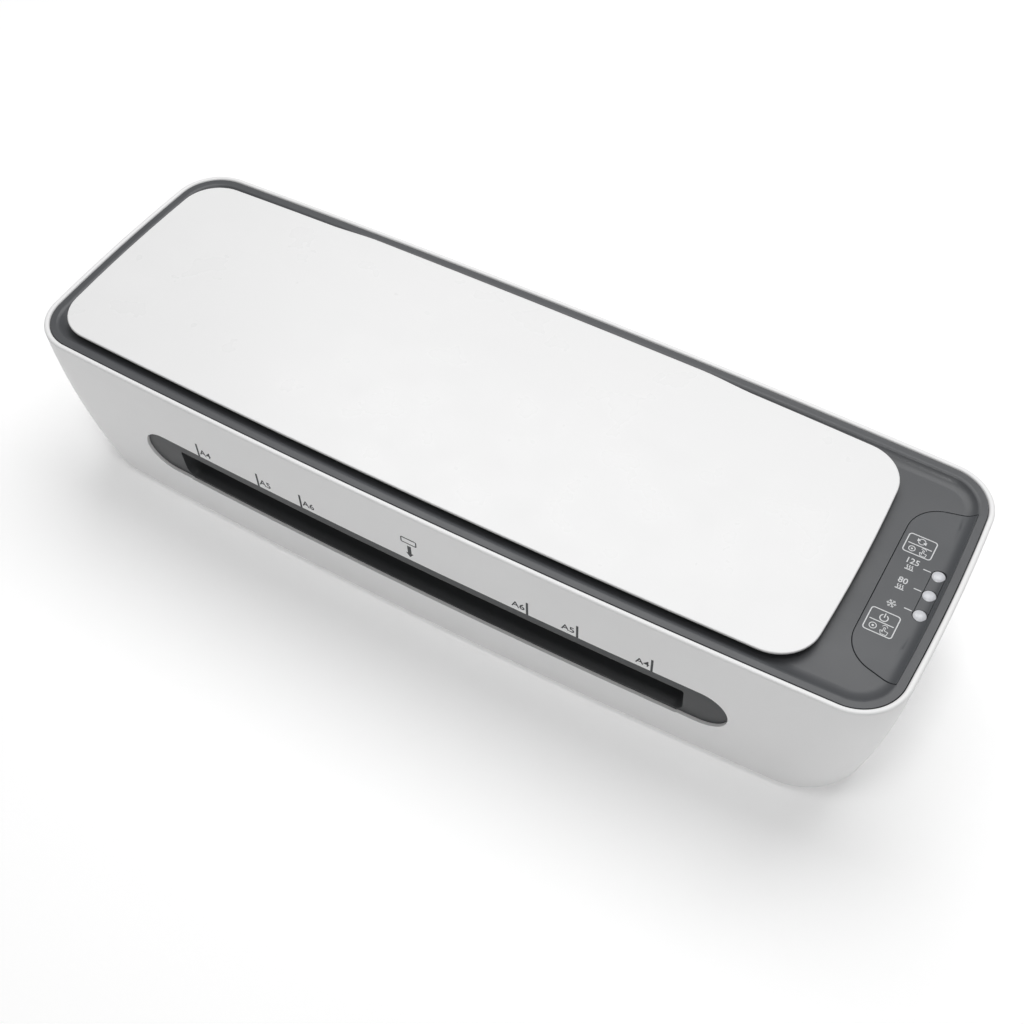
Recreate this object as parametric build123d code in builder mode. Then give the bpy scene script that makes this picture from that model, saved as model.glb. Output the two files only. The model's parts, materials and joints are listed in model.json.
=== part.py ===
"""Pouch laminator: a white shell with a dark deck, a white cover plate and a rocker key,
around a roller drive.

The origin is under the middle of the body, on the surface it stands on. +X points to the
end with the key, -Y to the front, where pouches enter, and +Z up. All lengths are millimetres.
"""

import os
from math import acos, cos, hypot, pi, radians, sin, sqrt, tan

from build123d import *

os.makedirs("parts", exist_ok=True)

# --- driving dimensions -----------------------------------------------------------------------------------

# White shell: a tub whose long and short sides bow outwards, narrower at the foot than at the rim
foot_height = 2.5
shell_height = 79.9
rim_z = foot_height + shell_height
rim_half_length = 194.0
rim_half_depth = 66.15
rim_side_bow = 3.92
rim_end_bow = 2.48
rim_corner = 21.2
foot_side_bow = 5.47
foot_end_bow = 3.75
foot_corner = 29.3
end_taper = 8.13
end_taper_power = 1.54
side_taper = 7.34
side_taper_power = 2.28
foot_edge_radius = 3.7
rim_edge_radius = 0.9
wall = 2.3
flange_top_z = foot_height + 2.3
flange_width = 12.0

# Dark deck: a flat lip, then a ramp that rounds over and runs out into a shallow dish
deck_seam = 0.35
deck_top_z = rim_z - 0.4
deck_floor_z = rim_z - 2.8
deck_thickness = 2.2
deck_bottom_z = deck_floor_z - deck_thickness
lip_width = 3.3
lip_radius = 2.0
ramp_width = 2.6
ramp_radius = 6.5

# White cover plate, held just above the deck on collared posts
cover_left = -185.7
cover_right = 157.5
cover_front_gap = 8.75
cover_end_bow = 1.9
cover_corner = 17.5
cover_top_z = rim_z + 2.0
cover_edge = 1.1
cover_edge_inset = 6.0
cover_thickness = 3.0
cover_back_y = 57.8
cover_back_radius = 7140.0
cover_step_radius = 3760.0
cover_step_y = 57.0
cover_step_start = 78.0
cover_step_end = 104.0

# Entry bezel in the front wall, with a mouth that narrows to the pouch path
path_z = 41.0
bezel_half_length = 136.6
bezel_height = 23.7
bezel_z = 41.85
bezel_recess = 1.3
flange_lap = 4.0
flange_thickness = 1.65
bezel_gap = 0.3
mouth_half_length = 118.0
mouth_top_z = 47.5
mouth_bottom_z = 30.7
mouth_lip = 1.3
throat_height = 5.0
throat_y = -43.5
exit_half_length = 130.0
exit_height = 19.0
exit_mouth_height = 9.0
exit_throat_y = 54.5

# Rocker key on the deck: its rear end changes the mode and its front end switches the power
key_left = 165.5
key_half_width = 37.5
key_half_width_right = 45.1
key_corner = 14.0
key_gap = 0.2
key_front_gap = 0.4
key_right_gap = 0.15
key_right_inset = 6.0
key_pivot_z = deck_floor_z - 5.6
key_pin_radius = 1.0
key_travel_deg = 1.0
switch_x = 173.0
switch_y = 30.0
lens_x = 183.8
lens_ys = {"rear": 9.8, "middle": -0.15, "front": -10.1}
lens_radius = 2.52
lens_gap = 0.33
lens_stem_radius = 2.2
lens_seat_z = 76.4
lens_foot_z = 68.5
strip_width = 5.0
strip_gap = 0.2
strip_body_width = 5.9
strip_body_length = 28.0
strip_base_z = 70.0
board_thickness = 1.6
switch_size = 6.0
switch_body_height = 3.5
stem_radius = 1.72
led_radius = 1.5
led_height = 3.4

# Rollers: two silicone sleeves on steel shafts, with the nip on the pouch path
roller_y = 20.0
roller_radius = 10.0
roller_half_length = 117.5
nip = 0.3
shaft_radius = 4.0
running_gap = 0.05
lower_axis = (roller_y, path_z - nip / 2 - roller_radius)
upper_axis = (roller_y, path_z + nip / 2 + roller_radius)
roller_lift = 1.0

# Chassis: two side plates across the roller ends
frame_inner_x = 123.2
sheet = 1.6
frame_outer_x = frame_inner_x + sheet
frame_foot_z = 12.0
frame_top_z = 72.0
frame_front_y = -42.0
frame_rear_y = 52.0
bush_radius = 5.5
slot_half_width = 5.5
slot_top_z = 68.0
slider_half_width = 5.2
slider_half_height = 5.5
spring_radius = 2.6
spring_wire = 0.8

# Gear train, module 1.25 with stub teeth
gear_module = 1.25
pressure_angle = radians(20)
gear_addendum = 1.0
gear_dedendum = 1.35
gear_backlash = 0.16
gear_left_x = -137.0
gear_width = 8.0
roller_teeth = 16
idler_teeth = 24
pinion_teeth = 12
centre_allowance = 0.1
idler_distance = gear_module * (roller_teeth + idler_teeth) / 2 + centre_allowance
pinion_distance = gear_module * (idler_teeth + pinion_teeth) / 2 + centre_allowance
pinion_direction = 127.5
idler_axis = (lower_axis[0] - idler_distance, lower_axis[1])
pinion_axis = (
    idler_axis[0] + pinion_distance * cos(radians(pinion_direction)),
    idler_axis[1] + pinion_distance * sin(radians(pinion_direction)),
)
idler_post_radius = 3.0
motor_axis = (-24.0, 40.0)
motor_radius = 25.0
motor_length = 22.0
motor_shaft_radius = 2.5
bracket_x = -144.0
ear_angle = 25.0
ear_reach = 30.0

# Heater plates and guides along the pouch path
heater_front_y = -34.0
heater_rear_y = 6.0
heater_thickness = 6.0
heater_gap = 0.8
guide_front_y = 32.5
guide_rear_y = 56.5
guide_thickness = 2.0

# Base plate and what stands on it
base_thickness = 2.2
base_top_z = flange_top_z + base_thickness
foot_x = 150.0
foot_y = 34.0
foot_radius = 7.0
housing_screw_xs = (-150.0, -60.0, 60.0, 150.0)
board_z = 14.0
board_centre_x = 158.0
gland_x = 150.0
gland_z = 22.0
gland_bore = 3.5
gland_face_y = 60.6
screw_radius = 1.5
small_screw_radius = 1.1


# --- helpers ----------------------------------------------------------------------------------------------


def save(part, name):
    """Labels a finished piece and writes it."""
    part.label = name
    export_step(part, f"parts/{name}.step")


def bow_radius(half_chord, bow):
    """Radius of a side that bows outwards by this much over its half length."""
    return (half_chord**2 + bow**2) / (2 * bow)


def bowed_points(half_length, half_depth, side_radius, end_radius, corner):
    """Tangent points and corner middle of a bowed rectangle's front right corner."""
    side_centre = (0, side_radius - half_depth)
    end_centre = (half_length - end_radius, 0)
    side_reach = side_radius - corner
    end_reach = end_radius - corner
    span_x = end_centre[0] - side_centre[0]
    span_y = end_centre[1] - side_centre[1]
    span = hypot(span_x, span_y)
    along = (side_reach**2 - end_reach**2 + span**2) / (2 * span)
    across = sqrt(side_reach**2 - along**2)
    ux, uy = span_x / span, span_y / span
    centre = (side_centre[0] + ux * along - uy * across, side_centre[1] + uy * along + ux * across)
    on_side = beyond(side_centre, centre, side_radius)
    on_end = beyond(end_centre, centre, end_radius)
    half_way = ((on_side[0] + on_end[0]) / 2, (on_side[1] + on_end[1]) / 2)
    return on_side, beyond(centre, half_way, corner), on_end


def beyond(start, through, distance):
    """Point at a distance from start, on the ray through another point."""
    dx, dy = through[0] - start[0], through[1] - start[1]
    scale = distance / hypot(dx, dy)
    return (start[0] + dx * scale, start[1] + dy * scale)


def bowed_rectangle(plane, half_length, half_depth, side_radius, end_radius, corner):
    """Face with four outward-bowed sides and round corners that are tangent to them."""
    side, middle, end = bowed_points(half_length, half_depth, side_radius, end_radius, corner)
    with BuildSketch(plane) as face:
        with BuildLine():
            ThreePointArc((-side[0], side[1]), (0, -half_depth), side)
            ThreePointArc(side, middle, end)
            ThreePointArc(end, (half_length, 0), (end[0], -end[1]))
            ThreePointArc((end[0], -end[1]), (middle[0], -middle[1]), (side[0], -side[1]))
            ThreePointArc((side[0], -side[1]), (0, half_depth), (-side[0], -side[1]))
            ThreePointArc((-side[0], -side[1]), (-middle[0], -middle[1]), (-end[0], -end[1]))
            ThreePointArc((-end[0], -end[1]), (-half_length, 0), (-end[0], end[1]))
            ThreePointArc((-end[0], end[1]), (-middle[0], middle[1]), (-side[0], side[1]))
        make_face()
    return face.sketch


def wall_sizes(z, inset=0.0):
    """Sizes of the shell's horizontal section at a height, moved inwards by an inset."""
    down = min(max((rim_z - z) / shell_height, 0), 1)
    half_length = rim_half_length - end_taper * down**end_taper_power
    half_depth = rim_half_depth - side_taper * down**side_taper_power
    side_radius = bow_radius(half_length, rim_side_bow + (foot_side_bow - rim_side_bow) * down)
    end_radius = bow_radius(half_depth, rim_end_bow + (foot_end_bow - rim_end_bow) * down)
    corner = rim_corner + (foot_corner - rim_corner) * down
    return [size - inset for size in (half_length, half_depth, side_radius, end_radius, corner)]


def wall_sections(inset, low, high, count=6):
    """Horizontal sections of the shell between two heights, ready to loft."""
    heights = [low + (high - low) * step / (count - 1) for step in range(count)]
    return [bowed_rectangle(Plane.XY.offset(z), *wall_sizes(z, inset)) for z in heights]


def side_y(x, z, inset=0.0):
    """How far the long side stands from the middle plane, at a length and a height."""
    half_length, half_depth, side_radius, end_radius, corner = wall_sizes(z, inset)
    return half_depth - side_radius + sqrt(side_radius**2 - x**2)


def across_plane(x, axis):
    """Plane square to the rollers, centred on an axis given as (y, z)."""
    return Plane(origin=(x, axis[0], axis[1]), x_dir=(0, 1, 0), z_dir=(1, 0, 0))


def rod(x_low, x_high, axis, radius):
    """Round bar along X."""
    with BuildPart() as bar:
        with BuildSketch(across_plane(x_low, axis)):
            Circle(radius)
        extrude(amount=x_high - x_low)
    return bar.part


def pan_screw(plane, radius, length):
    """Pan-head screw with a cross recess, its head on the plane and its shank behind it."""
    head_height = 1.1 * radius
    with BuildPart() as screw:
        with BuildSketch(plane):
            Circle(2 * radius)
        extrude(amount=head_height)
        with BuildSketch(plane):
            Circle(radius)
        extrude(amount=-length)
        with BuildSketch(plane.offset(head_height)):
            Rectangle(2.4 * radius, 0.45 * radius)
            Rectangle(0.45 * radius, 2.4 * radius)
        extrude(amount=-0.6 * head_height, mode=Mode.SUBTRACT)
    return screw.part


def flat_screw(plane, radius, length):
    """Countersunk screw with a cross recess, flush with the plane, its shank behind it."""
    head_depth = radius
    with BuildPart() as screw:
        with BuildSketch(plane):
            Circle(2 * radius - 0.05)
        extrude(amount=-head_depth, taper=45 - 1)
        with BuildSketch(plane.offset(-head_depth / 2)):
            Circle(radius)
        extrude(amount=head_depth / 2 - length)
        with BuildSketch(plane):
            Rectangle(2.4 * radius, 0.45 * radius)
            Rectangle(0.45 * radius, 2.4 * radius)
        extrude(amount=-0.5 * head_depth, mode=Mode.SUBTRACT)
    return screw.part


def involute(angle):
    """Involute function of a pressure angle."""
    return tan(angle) - angle


def gear_points(teeth, first_tooth):
    """Corner points of a spur gear whose first tooth is centred on an angle in degrees."""
    pitch_radius = gear_module * teeth / 2
    base_radius = pitch_radius * cos(pressure_angle)
    root_radius = pitch_radius - gear_dedendum
    tip_radius = pitch_radius + gear_addendum
    half_at_pitch = pi / (2 * teeth) - gear_backlash / (2 * pitch_radius)
    flank_steps = 5
    flank_start = max(base_radius, root_radius)
    step_height = (tip_radius - flank_start) / flank_steps
    radii = [flank_start + step_height * step for step in range(flank_steps + 1)]
    half_angles = [
        half_at_pitch + involute(pressure_angle) - involute(acos(base_radius / radius)) for radius in radii
    ]
    flank = [(root_radius, half_angles[0]), *zip(radii, half_angles)]
    points = []
    for tooth in range(teeth):
        middle = radians(first_tooth) + 2 * pi * tooth / teeth
        rising = [(radius, middle - half) for radius, half in flank]
        falling = [(radius, middle + half) for radius, half in reversed(flank)]
        points += [(radius * cos(angle), radius * sin(angle)) for radius, angle in rising + falling]
    return points


def spur_gear(teeth, first_tooth, axis, bore):
    """Moulded gear with a hub and lightening holes where it is large enough for them."""
    pitch_radius = gear_module * teeth / 2
    with BuildPart() as gear:
        with BuildSketch(across_plane(gear_left_x, axis)):
            with BuildLine():
                Polyline(*gear_points(teeth, first_tooth), close=True)
            make_face()
            Circle(bore, mode=Mode.SUBTRACT)
        extrude(amount=gear_width)
        if pitch_radius > 2.5 * bore + 4:
            with BuildSketch(across_plane(gear_left_x, axis)):
                with PolarLocations((bore + pitch_radius) / 2, 6):
                    Circle((pitch_radius - bore) / 6)
            extrude(amount=gear_width, mode=Mode.SUBTRACT)
    return gear.part


def retaining_clip(x, axis, radius):
    """Open clip in a shaft's groove."""
    with BuildPart() as clip:
        with BuildSketch(across_plane(x, axis)):
            Circle(radius + 2.0)
            Circle(radius, mode=Mode.SUBTRACT)
            with Locations((0, -radius - 1)):
                Rectangle(radius, 4.0, mode=Mode.SUBTRACT)
        extrude(amount=0.8)
    return clip.part


# --- white shell ------------------------------------------------------------------------------------------

# Inside of the tub: the walls' inner faces, less the pads that carry the deck and the cord gland
with BuildPart() as tub_cavity:
    loft(sections=wall_sections(wall, flange_top_z, rim_z))
    extrude(faces().sort_by(Axis.Z)[-1], amount=2)
    pad_depth = 3.0
    for x in (-150, -75, 75, 140):
        for side in (-1, 1):
            with BuildSketch(Plane.XY.offset(deck_bottom_z)):
                with Locations((x, side * side_y(x, deck_bottom_z, wall))):
                    Rectangle(12, 2 * pad_depth)
            extrude(amount=-8, mode=Mode.SUBTRACT)
    with BuildSketch(Plane.XZ.offset(-50)):
        with Locations((gland_x, gland_z)):
            Circle(9)
    extrude(amount=-20, mode=Mode.SUBTRACT)
    with BuildSketch(Plane.XZ.offset(-50)):
        with Locations((gland_x, gland_z)):
            Circle(9)
    extrude(amount=-5.5)

with BuildPart() as outer_shell:
    loft(sections=wall_sections(0, foot_height, rim_z))
    fillet(faces().sort_by(Axis.Z)[0].edges(), radius=foot_edge_radius)
    add(tub_cavity.part, mode=Mode.SUBTRACT)
    fillet(faces().sort_by(Axis.Z)[-1].edges(), radius=rim_edge_radius)
    # Opening in the foot, which leaves a flange that the base plate rests on
    add(
        extrude(
            bowed_rectangle(Plane.XY.offset(foot_height - 1), *wall_sizes(foot_height, flange_width)),
            amount=5,
            mode=Mode.PRIVATE,
        ),
        mode=Mode.SUBTRACT,
    )
    # Front window for the entry bezel, with a straight stretch below it for the mouth's lip
    with BuildSketch(Plane.XZ.offset(50)):
        with Locations((0, bezel_z)):
            SlotOverall(2 * bezel_half_length, bezel_height)
        with Locations((0, mouth_bottom_z - mouth_lip)):
            Rectangle(2 * mouth_half_length - 4, 6, align=(Align.CENTER, Align.MIN))
    extrude(amount=30, mode=Mode.SUBTRACT)
    # Rear window for the exit bezel
    with BuildSketch(Plane.XZ.offset(-50)):
        with Locations((0, path_z)):
            SlotOverall(2 * exit_half_length, exit_height)
    extrude(amount=-30, mode=Mode.SUBTRACT)
    # Stepped hole for the cord gland
    with BuildSketch(Plane.XZ.offset(-50)):
        with Locations((gland_x, gland_z)):
            Circle(5)
    extrude(amount=-20, mode=Mode.SUBTRACT)
    with BuildSketch(Plane.XZ.offset(2.5 - gland_face_y)):
        with Locations((gland_x, gland_z)):
            Circle(6.6)
    extrude(amount=-20, mode=Mode.SUBTRACT)
    # Countersunk screw holes in the flange
    for x in housing_screw_xs:
        for side in (-1, 1):
            with Locations(
                Plane(
                    origin=(x, side * (side_y(x, foot_height) - 8.2), foot_height),
                    z_dir=(0, 0, -1),
                )
            ):
                CounterSinkHole(screw_radius + 0.1, 2 * screw_radius, depth=4, counter_sink_angle=90)
save(outer_shell.part, "outer_shell")

# --- base plate -------------------------------------------------------------------------------------------

frame_screws = [(side * 129.0, y) for side in (-1, 1) for y in (-30.0, 34.0)]
motor_foot_screws = [(-151.0, -44.0), (-151.0, -2.0)]
board_posts = [(board_centre_x + 18 * side, y) for side in (-1, 1) for y in (-35.0, 35.0)]
housing_screws_at = [
    (x, side * (side_y(x, foot_height) - 8.2)) for x in housing_screw_xs for side in (-1, 1)
]

with BuildPart() as base_plate:
    add(
        extrude(
            bowed_rectangle(Plane.XY.offset(flange_top_z), *wall_sizes(flange_top_z, wall + 0.4)),
            amount=base_thickness,
            mode=Mode.PRIVATE,
        )
    )
    # Posts for the chassis, the motor bracket, the housing screws and the power board
    with BuildSketch(Plane.XY.offset(base_top_z)):
        with Locations(*frame_screws, *motor_foot_screws):
            Circle(4)
        with Locations(*housing_screws_at):
            Circle(3.6)
    extrude(amount=frame_foot_z - base_top_z)
    with BuildSketch(Plane.XY.offset(base_top_z)):
        with Locations(*board_posts):
            Circle(3)
    extrude(amount=board_z - base_top_z)
    with BuildSketch(Plane.XY.offset(flange_top_z)):
        with Locations(*frame_screws, *motor_foot_screws, *housing_screws_at):
            Circle(screw_radius)
    extrude(amount=frame_foot_z - flange_top_z, mode=Mode.SUBTRACT)
    with BuildSketch(Plane.XY.offset(flange_top_z)):
        with Locations(*board_posts):
            Circle(small_screw_radius)
    extrude(amount=board_z - flange_top_z, mode=Mode.SUBTRACT)
    # Vent slots under the heater plates and under the power board
    with BuildSketch(Plane.XY.offset(flange_top_z)):
        with Locations((0, -14)):
            with GridLocations(12, 0, 17, 1):
                SlotOverall(34, 3.2, rotation=90)
        with Locations((board_centre_x, 0)):
            with GridLocations(8, 0, 3, 1):
                SlotOverall(26, 3.2, rotation=90)
    extrude(amount=base_thickness, mode=Mode.SUBTRACT)
save(base_plate.part, "base_plate")

with BuildPart() as rubber_feet:
    with BuildSketch():
        with GridLocations(2 * foot_x, 2 * foot_y, 2, 2):
            Circle(foot_radius)
    extrude(amount=flange_top_z)
    fillet(edges().group_by(Axis.Z)[0], radius=1.0)
save(rubber_feet.part, "rubber_feet")

# --- dark deck --------------------------------------------------------------------------------------------

lip_inset = wall + deck_seam
floor_inset = lip_inset + lip_width + ramp_width
cover_middle = (cover_left + cover_right) / 2
cover_posts = [(cover_middle + dx, y) for dx in (-148.0, 0.0, 148.0) for y in (-38.0, 38.0)]
key_bracket_screws = [(x, side * y) for x, y in ((161.5, 50.0), (175.0, 49.5)) for side in (-1, 1)]
bracket_top_z = 61.0


def key_face(plane, grow=0.0, front_grow=0.0, right_grow=0.0):
    """Outline of the rocker key, which follows the lip on the right, grown by some amounts."""
    left = key_left - grow
    right = rim_half_length
    spread = key_half_width_right - key_half_width
    front_left = -key_half_width - front_grow
    rear_left = key_half_width + grow
    with BuildSketch(plane) as face:
        with BuildLine():
            Polyline(
                (left, front_left),
                (right, front_left - spread),
                (right, rear_left + spread),
                (left, rear_left),
                close=True,
            )
        make_face()
        fillet(face.vertices().group_by(Axis.X)[0], radius=key_corner + grow)
        add(
            bowed_rectangle(Plane.XY, *wall_sizes(rim_z, key_right_inset - right_grow)),
            mode=Mode.INTERSECT,
        )
    return face.sketch


# Whole deck before the key is cut out of it, so that the key's top runs on from the deck's
with BuildPart() as deck_body:
    add(
        extrude(
            bowed_rectangle(Plane.XY.offset(deck_bottom_z), *wall_sizes(rim_z, lip_inset)),
            amount=deck_top_z - deck_bottom_z,
            mode=Mode.PRIVATE,
        )
    )
    dish_sections = [
        bowed_rectangle(Plane.XY.offset(z), *wall_sizes(rim_z, inset))
        for z, inset in ((deck_floor_z, floor_inset), (deck_top_z, lip_inset + lip_width))
    ]
    loft(sections=dish_sections, mode=Mode.SUBTRACT)
    dish_floor = faces().filter_by(Axis.Z).sort_by(Axis.Z)[1]
    fillet(dish_floor.edges(), radius=ramp_radius)
    lip = faces().sort_by(Axis.Z)[-1]
    fillet(lip.inner_wires()[0].edges(), radius=lip_radius)

with BuildPart() as top_deck:
    add(deck_body.part)
    # Posts for the key's bracket
    with BuildSketch(Plane.XY.offset(deck_bottom_z)):
        with Locations(*key_bracket_screws):
            Circle(3)
    extrude(amount=bracket_top_z - deck_bottom_z)
    with BuildSketch(Plane.XY.offset(bracket_top_z)):
        with Locations(*key_bracket_screws):
            Circle(small_screw_radius)
    extrude(amount=10, mode=Mode.SUBTRACT)
    # Holes for the cover plate's posts and the opening for the key
    with BuildSketch(Plane.XY.offset(deck_bottom_z)):
        with Locations(*cover_posts):
            Circle(3.2)
        add(key_face(Plane.XY, key_gap, key_front_gap, key_right_gap))
    extrude(amount=deck_top_z - deck_bottom_z, mode=Mode.SUBTRACT)
save(top_deck.part, "top_deck")

# --- white cover plate ------------------------------------------------------------------------------------


def cover_face(plane, inset=0.0):
    """Outline of the cover plate: its rear edge stands proud between two soft steps."""
    front_radius = bow_radius(rim_half_length, rim_side_bow) - cover_front_gap - inset
    front_y = rim_half_depth - cover_front_gap - inset
    reach = (cover_right - cover_left) / 2 - inset
    half_length = reach - cover_end_bow

    def front(x):
        return -front_y + front_radius - sqrt(front_radius**2 - x**2)

    def rear(offset, top, radius):
        return top - inset - radius + sqrt(radius**2 - offset**2)

    step_out = rear(cover_step_start, cover_back_y, cover_back_radius)
    step_in = rear(cover_step_end, cover_step_y, cover_step_radius)
    end_y = rear(half_length, cover_step_y, cover_step_radius)
    between = (cover_step_end + half_length) / 2
    between_y = rear(between, cover_step_y, cover_step_radius)
    left, right = cover_middle - half_length, cover_middle + half_length
    out_slope = cover_step_start / cover_back_radius
    in_slope = cover_step_end / cover_step_radius
    with BuildSketch(plane) as face:
        with BuildLine():
            ThreePointArc(
                (left, front(left)), (cover_middle, front(cover_middle)), (right, front(right))
            )
            ThreePointArc((left, front(left)), (cover_middle - reach, 0), (left, end_y))
            ThreePointArc((right, front(right)), (cover_middle + reach, 0), (right, end_y))
            for side in (1, -1):
                corner = (cover_middle + side * half_length, end_y)
                inner = (cover_middle + side * cover_step_end, step_in)
                outer = (cover_middle + side * cover_step_start, step_out)
                ThreePointArc(corner, (cover_middle + side * between, between_y), inner)
                Spline(inner, outer, tangents=((-side, in_slope), (-side, out_slope)))
            ThreePointArc(
                (cover_middle + cover_step_start, step_out),
                (cover_middle, cover_back_y - inset),
                (cover_middle - cover_step_start, step_out),
            )
        make_face()
        corners = face.vertices().group_by(Axis.X)
        fillet(corners[0] + corners[-1], radius=cover_corner - inset)
    return face.sketch


with BuildPart() as cover_plate:
    # Thin rim, so that the plate seems to float, over a smaller body
    add(
        extrude(
            cover_face(Plane.XY.offset(cover_top_z - cover_edge)),
            amount=cover_edge,
            mode=Mode.PRIVATE,
        )
    )
    fillet(edges().group_by(Axis.Z)[-1], radius=0.5)
    fillet(edges().group_by(Axis.Z)[0], radius=0.3)
    add(
        extrude(
            cover_face(Plane.XY.offset(cover_top_z - cover_thickness), cover_edge_inset),
            amount=cover_thickness - cover_edge / 2,
            mode=Mode.PRIVATE,
        )
    )
    # Shallow pocket beneath
    with BuildSketch(Plane.XY.offset(cover_top_z - cover_thickness)):
        with Locations((cover_middle, 0)):
            RectangleRounded(cover_right - cover_left - 18, 2 * cover_back_y - 22, cover_corner)
    extrude(amount=1, mode=Mode.SUBTRACT)
    # Collars that rest on the deck and snap posts that pass through it
    with BuildSketch(Plane.XY.offset(deck_floor_z)):
        with Locations(*cover_posts):
            Circle(5)
    extrude(amount=cover_top_z - 1.5 - deck_floor_z)
    with BuildSketch(Plane.XY.offset(deck_floor_z)):
        with Locations(*cover_posts):
            Circle(3)
    extrude(amount=-4)
save(cover_plate.part, "cover_plate")

# --- entry and exit bezels --------------------------------------------------------------------------------


def wall_patch(outer_inset, inner_inset, outline, side):
    """Plate that follows a long wall between two insets, cut to an outline drawn in X and Z."""
    low, high = bezel_z - bezel_height, bezel_z + bezel_height
    with BuildPart() as patch:
        loft(sections=wall_sections(outer_inset, low, high, 4))
        loft(sections=wall_sections(inner_inset, low - 1, high + 1, 4), mode=Mode.SUBTRACT)
        extrude(outline, amount=-side * 40, mode=Mode.INTERSECT)
    return patch.part


def slot_outline(side, half_length, height, z):
    """Stadium outline in front of or behind the middle plane."""
    with BuildSketch(Plane.XZ.offset(-side * 40)) as outline:
        with Locations((0, z)):
            SlotOverall(2 * half_length, height)
    return outline.sketch


def entry_outline(half_length, height, lip_drop):
    """Stadium with a straight stretch below it that carries the mouth's lip."""
    with BuildSketch(Plane.XZ.offset(40)) as outline:
        with Locations((0, bezel_z)):
            SlotOverall(2 * half_length, height)
        with Locations((0, lip_drop)):
            Rectangle(
                2 * (mouth_half_length - 2 - bezel_gap), 6, align=(Align.CENTER, Align.MIN)
            )
    return outline.sketch


def mouth_section(y, half_length, low, high, corner):
    """Upright rectangle across the pouch path, with its lower corners rounded."""
    with BuildSketch(Plane.XZ.offset(-y)) as section:
        with Locations((0, (low + high) / 2)):
            Rectangle(2 * half_length, high - low)
        fillet(section.vertices().group_by(Axis.Y)[0], radius=corner)
        fillet(section.vertices().group_by(Axis.Y)[-1], radius=corner / 3)
    return section.sketch


throat_low = path_z - throat_height / 2
throat_high = path_z + throat_height / 2
entry_lip_z = mouth_bottom_z - mouth_lip
entry_tunnel_y = -66.0
tunnel_floor_z = entry_lip_z - 1.9
face_back_inset = wall + 1.2
flange_front_inset = wall + 0.05

entry_face = wall_patch(
    bezel_recess,
    face_back_inset,
    entry_outline(bezel_half_length - bezel_gap, bezel_height - 2 * bezel_gap, entry_lip_z + bezel_gap),
    -1,
)
entry_flange = wall_patch(
    flange_front_inset,
    flange_front_inset + flange_thickness,
    entry_outline(bezel_half_length + flange_lap, bezel_height + 1.5 * flange_lap, entry_lip_z - 1),
    -1,
)

# Tunnel that starts inside the bezel's flange and narrows to the throat
with BuildPart() as entry_tunnel:
    loft(
        sections=[
            mouth_section(entry_tunnel_y, mouth_half_length + 2, tunnel_floor_z, mouth_top_z + 2, 4.5),
            mouth_section(throat_y, mouth_half_length - 1, throat_low - 2, throat_high + 2, 3),
        ]
    )
    tunnel_start = wall + flange_thickness / 2
    tunnel_reach = wall_sections(tunnel_start, bezel_z - bezel_height, bezel_z + bezel_height, 4)
    loft(sections=tunnel_reach, mode=Mode.INTERSECT)

with BuildPart() as entry_bezel:
    add(entry_face)
    add(entry_flange)
    add(entry_tunnel.part)
    # Mouth: tall at the front, with a floor that rises to the throat
    loft(
        sections=[
            mouth_section(-68, mouth_half_length, mouth_bottom_z - 1.2, mouth_top_z, 4),
            mouth_section(-61, mouth_half_length, mouth_bottom_z + 0.2, mouth_top_z - 0.6, 4),
            mouth_section(throat_y + 0.5, mouth_half_length - 3, throat_low, throat_high, 1.5),
        ],
        mode=Mode.SUBTRACT,
    )
save(entry_bezel.part, "entry_bezel")

exit_low = path_z - exit_mouth_height / 2
exit_high = path_z + exit_mouth_height / 2

exit_face = wall_patch(
    bezel_recess,
    face_back_inset,
    slot_outline(1, exit_half_length - bezel_gap, exit_height - 2 * bezel_gap, path_z),
    1,
)
exit_flange = wall_patch(
    flange_front_inset,
    flange_front_inset + flange_thickness,
    slot_outline(1, exit_half_length + flange_lap, exit_height + 1.5 * flange_lap, path_z),
    1,
)

with BuildPart() as exit_bezel:
    add(exit_face)
    add(exit_flange)
    # Mouth that flares outwards
    loft(
        sections=[
            mouth_section(68, mouth_half_length, exit_low, exit_high, 2),
            mouth_section(exit_throat_y - 0.5, mouth_half_length - 2, path_z - 2.8, path_z + 2.8, 1.5),
        ],
        mode=Mode.SUBTRACT,
    )
save(exit_bezel.part, "exit_bezel")

# --- cord gland -------------------------------------------------------------------------------------------

gland_axis = (gland_x, gland_z)
with BuildPart() as cord_gland:
    with BuildSketch(Plane.XZ.offset(2.5 - gland_face_y)):
        with Locations(gland_axis):
            Circle(6.5)
    extrude(amount=-2.5)
    with BuildSketch(Plane.XZ.offset(-54)):
        with Locations(gland_axis):
            Circle(4.95)
    extrude(amount=-(gland_face_y - 2.5 - 54))
    with BuildSketch(Plane.XZ.offset(-54)):
        with Locations(gland_axis):
            Circle(gland_bore)
    extrude(amount=-8, mode=Mode.SUBTRACT)
    fillet(edges().group_by(Axis.Y)[-1].sort_by(SortBy.RADIUS)[-1], radius=1.0)
save(cord_gland.part, "cord_gland")

# --- rocker key, lenses and switches ----------------------------------------------------------------------

key_bottom_z = deck_bottom_z
lug_xs = (171.0, 176.0)
ear_xs = (168.0, 179.0)
lens_middle = (lens_ys["rear"] + lens_ys["front"]) / 2
lens_span = lens_ys["rear"] - lens_ys["front"]
switch_top_z = 70.6
presser_z = switch_top_z + switch_y * tan(radians(key_travel_deg)) + 0.1
board_top_z = 63.6
control_board_screws = [(x, y) for x in (166, 182) for y in (-36, 36)]

lens_hole_radius = lens_radius + lens_gap
lens_places = [(lens_x, y) for y in lens_ys.values()]

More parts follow.
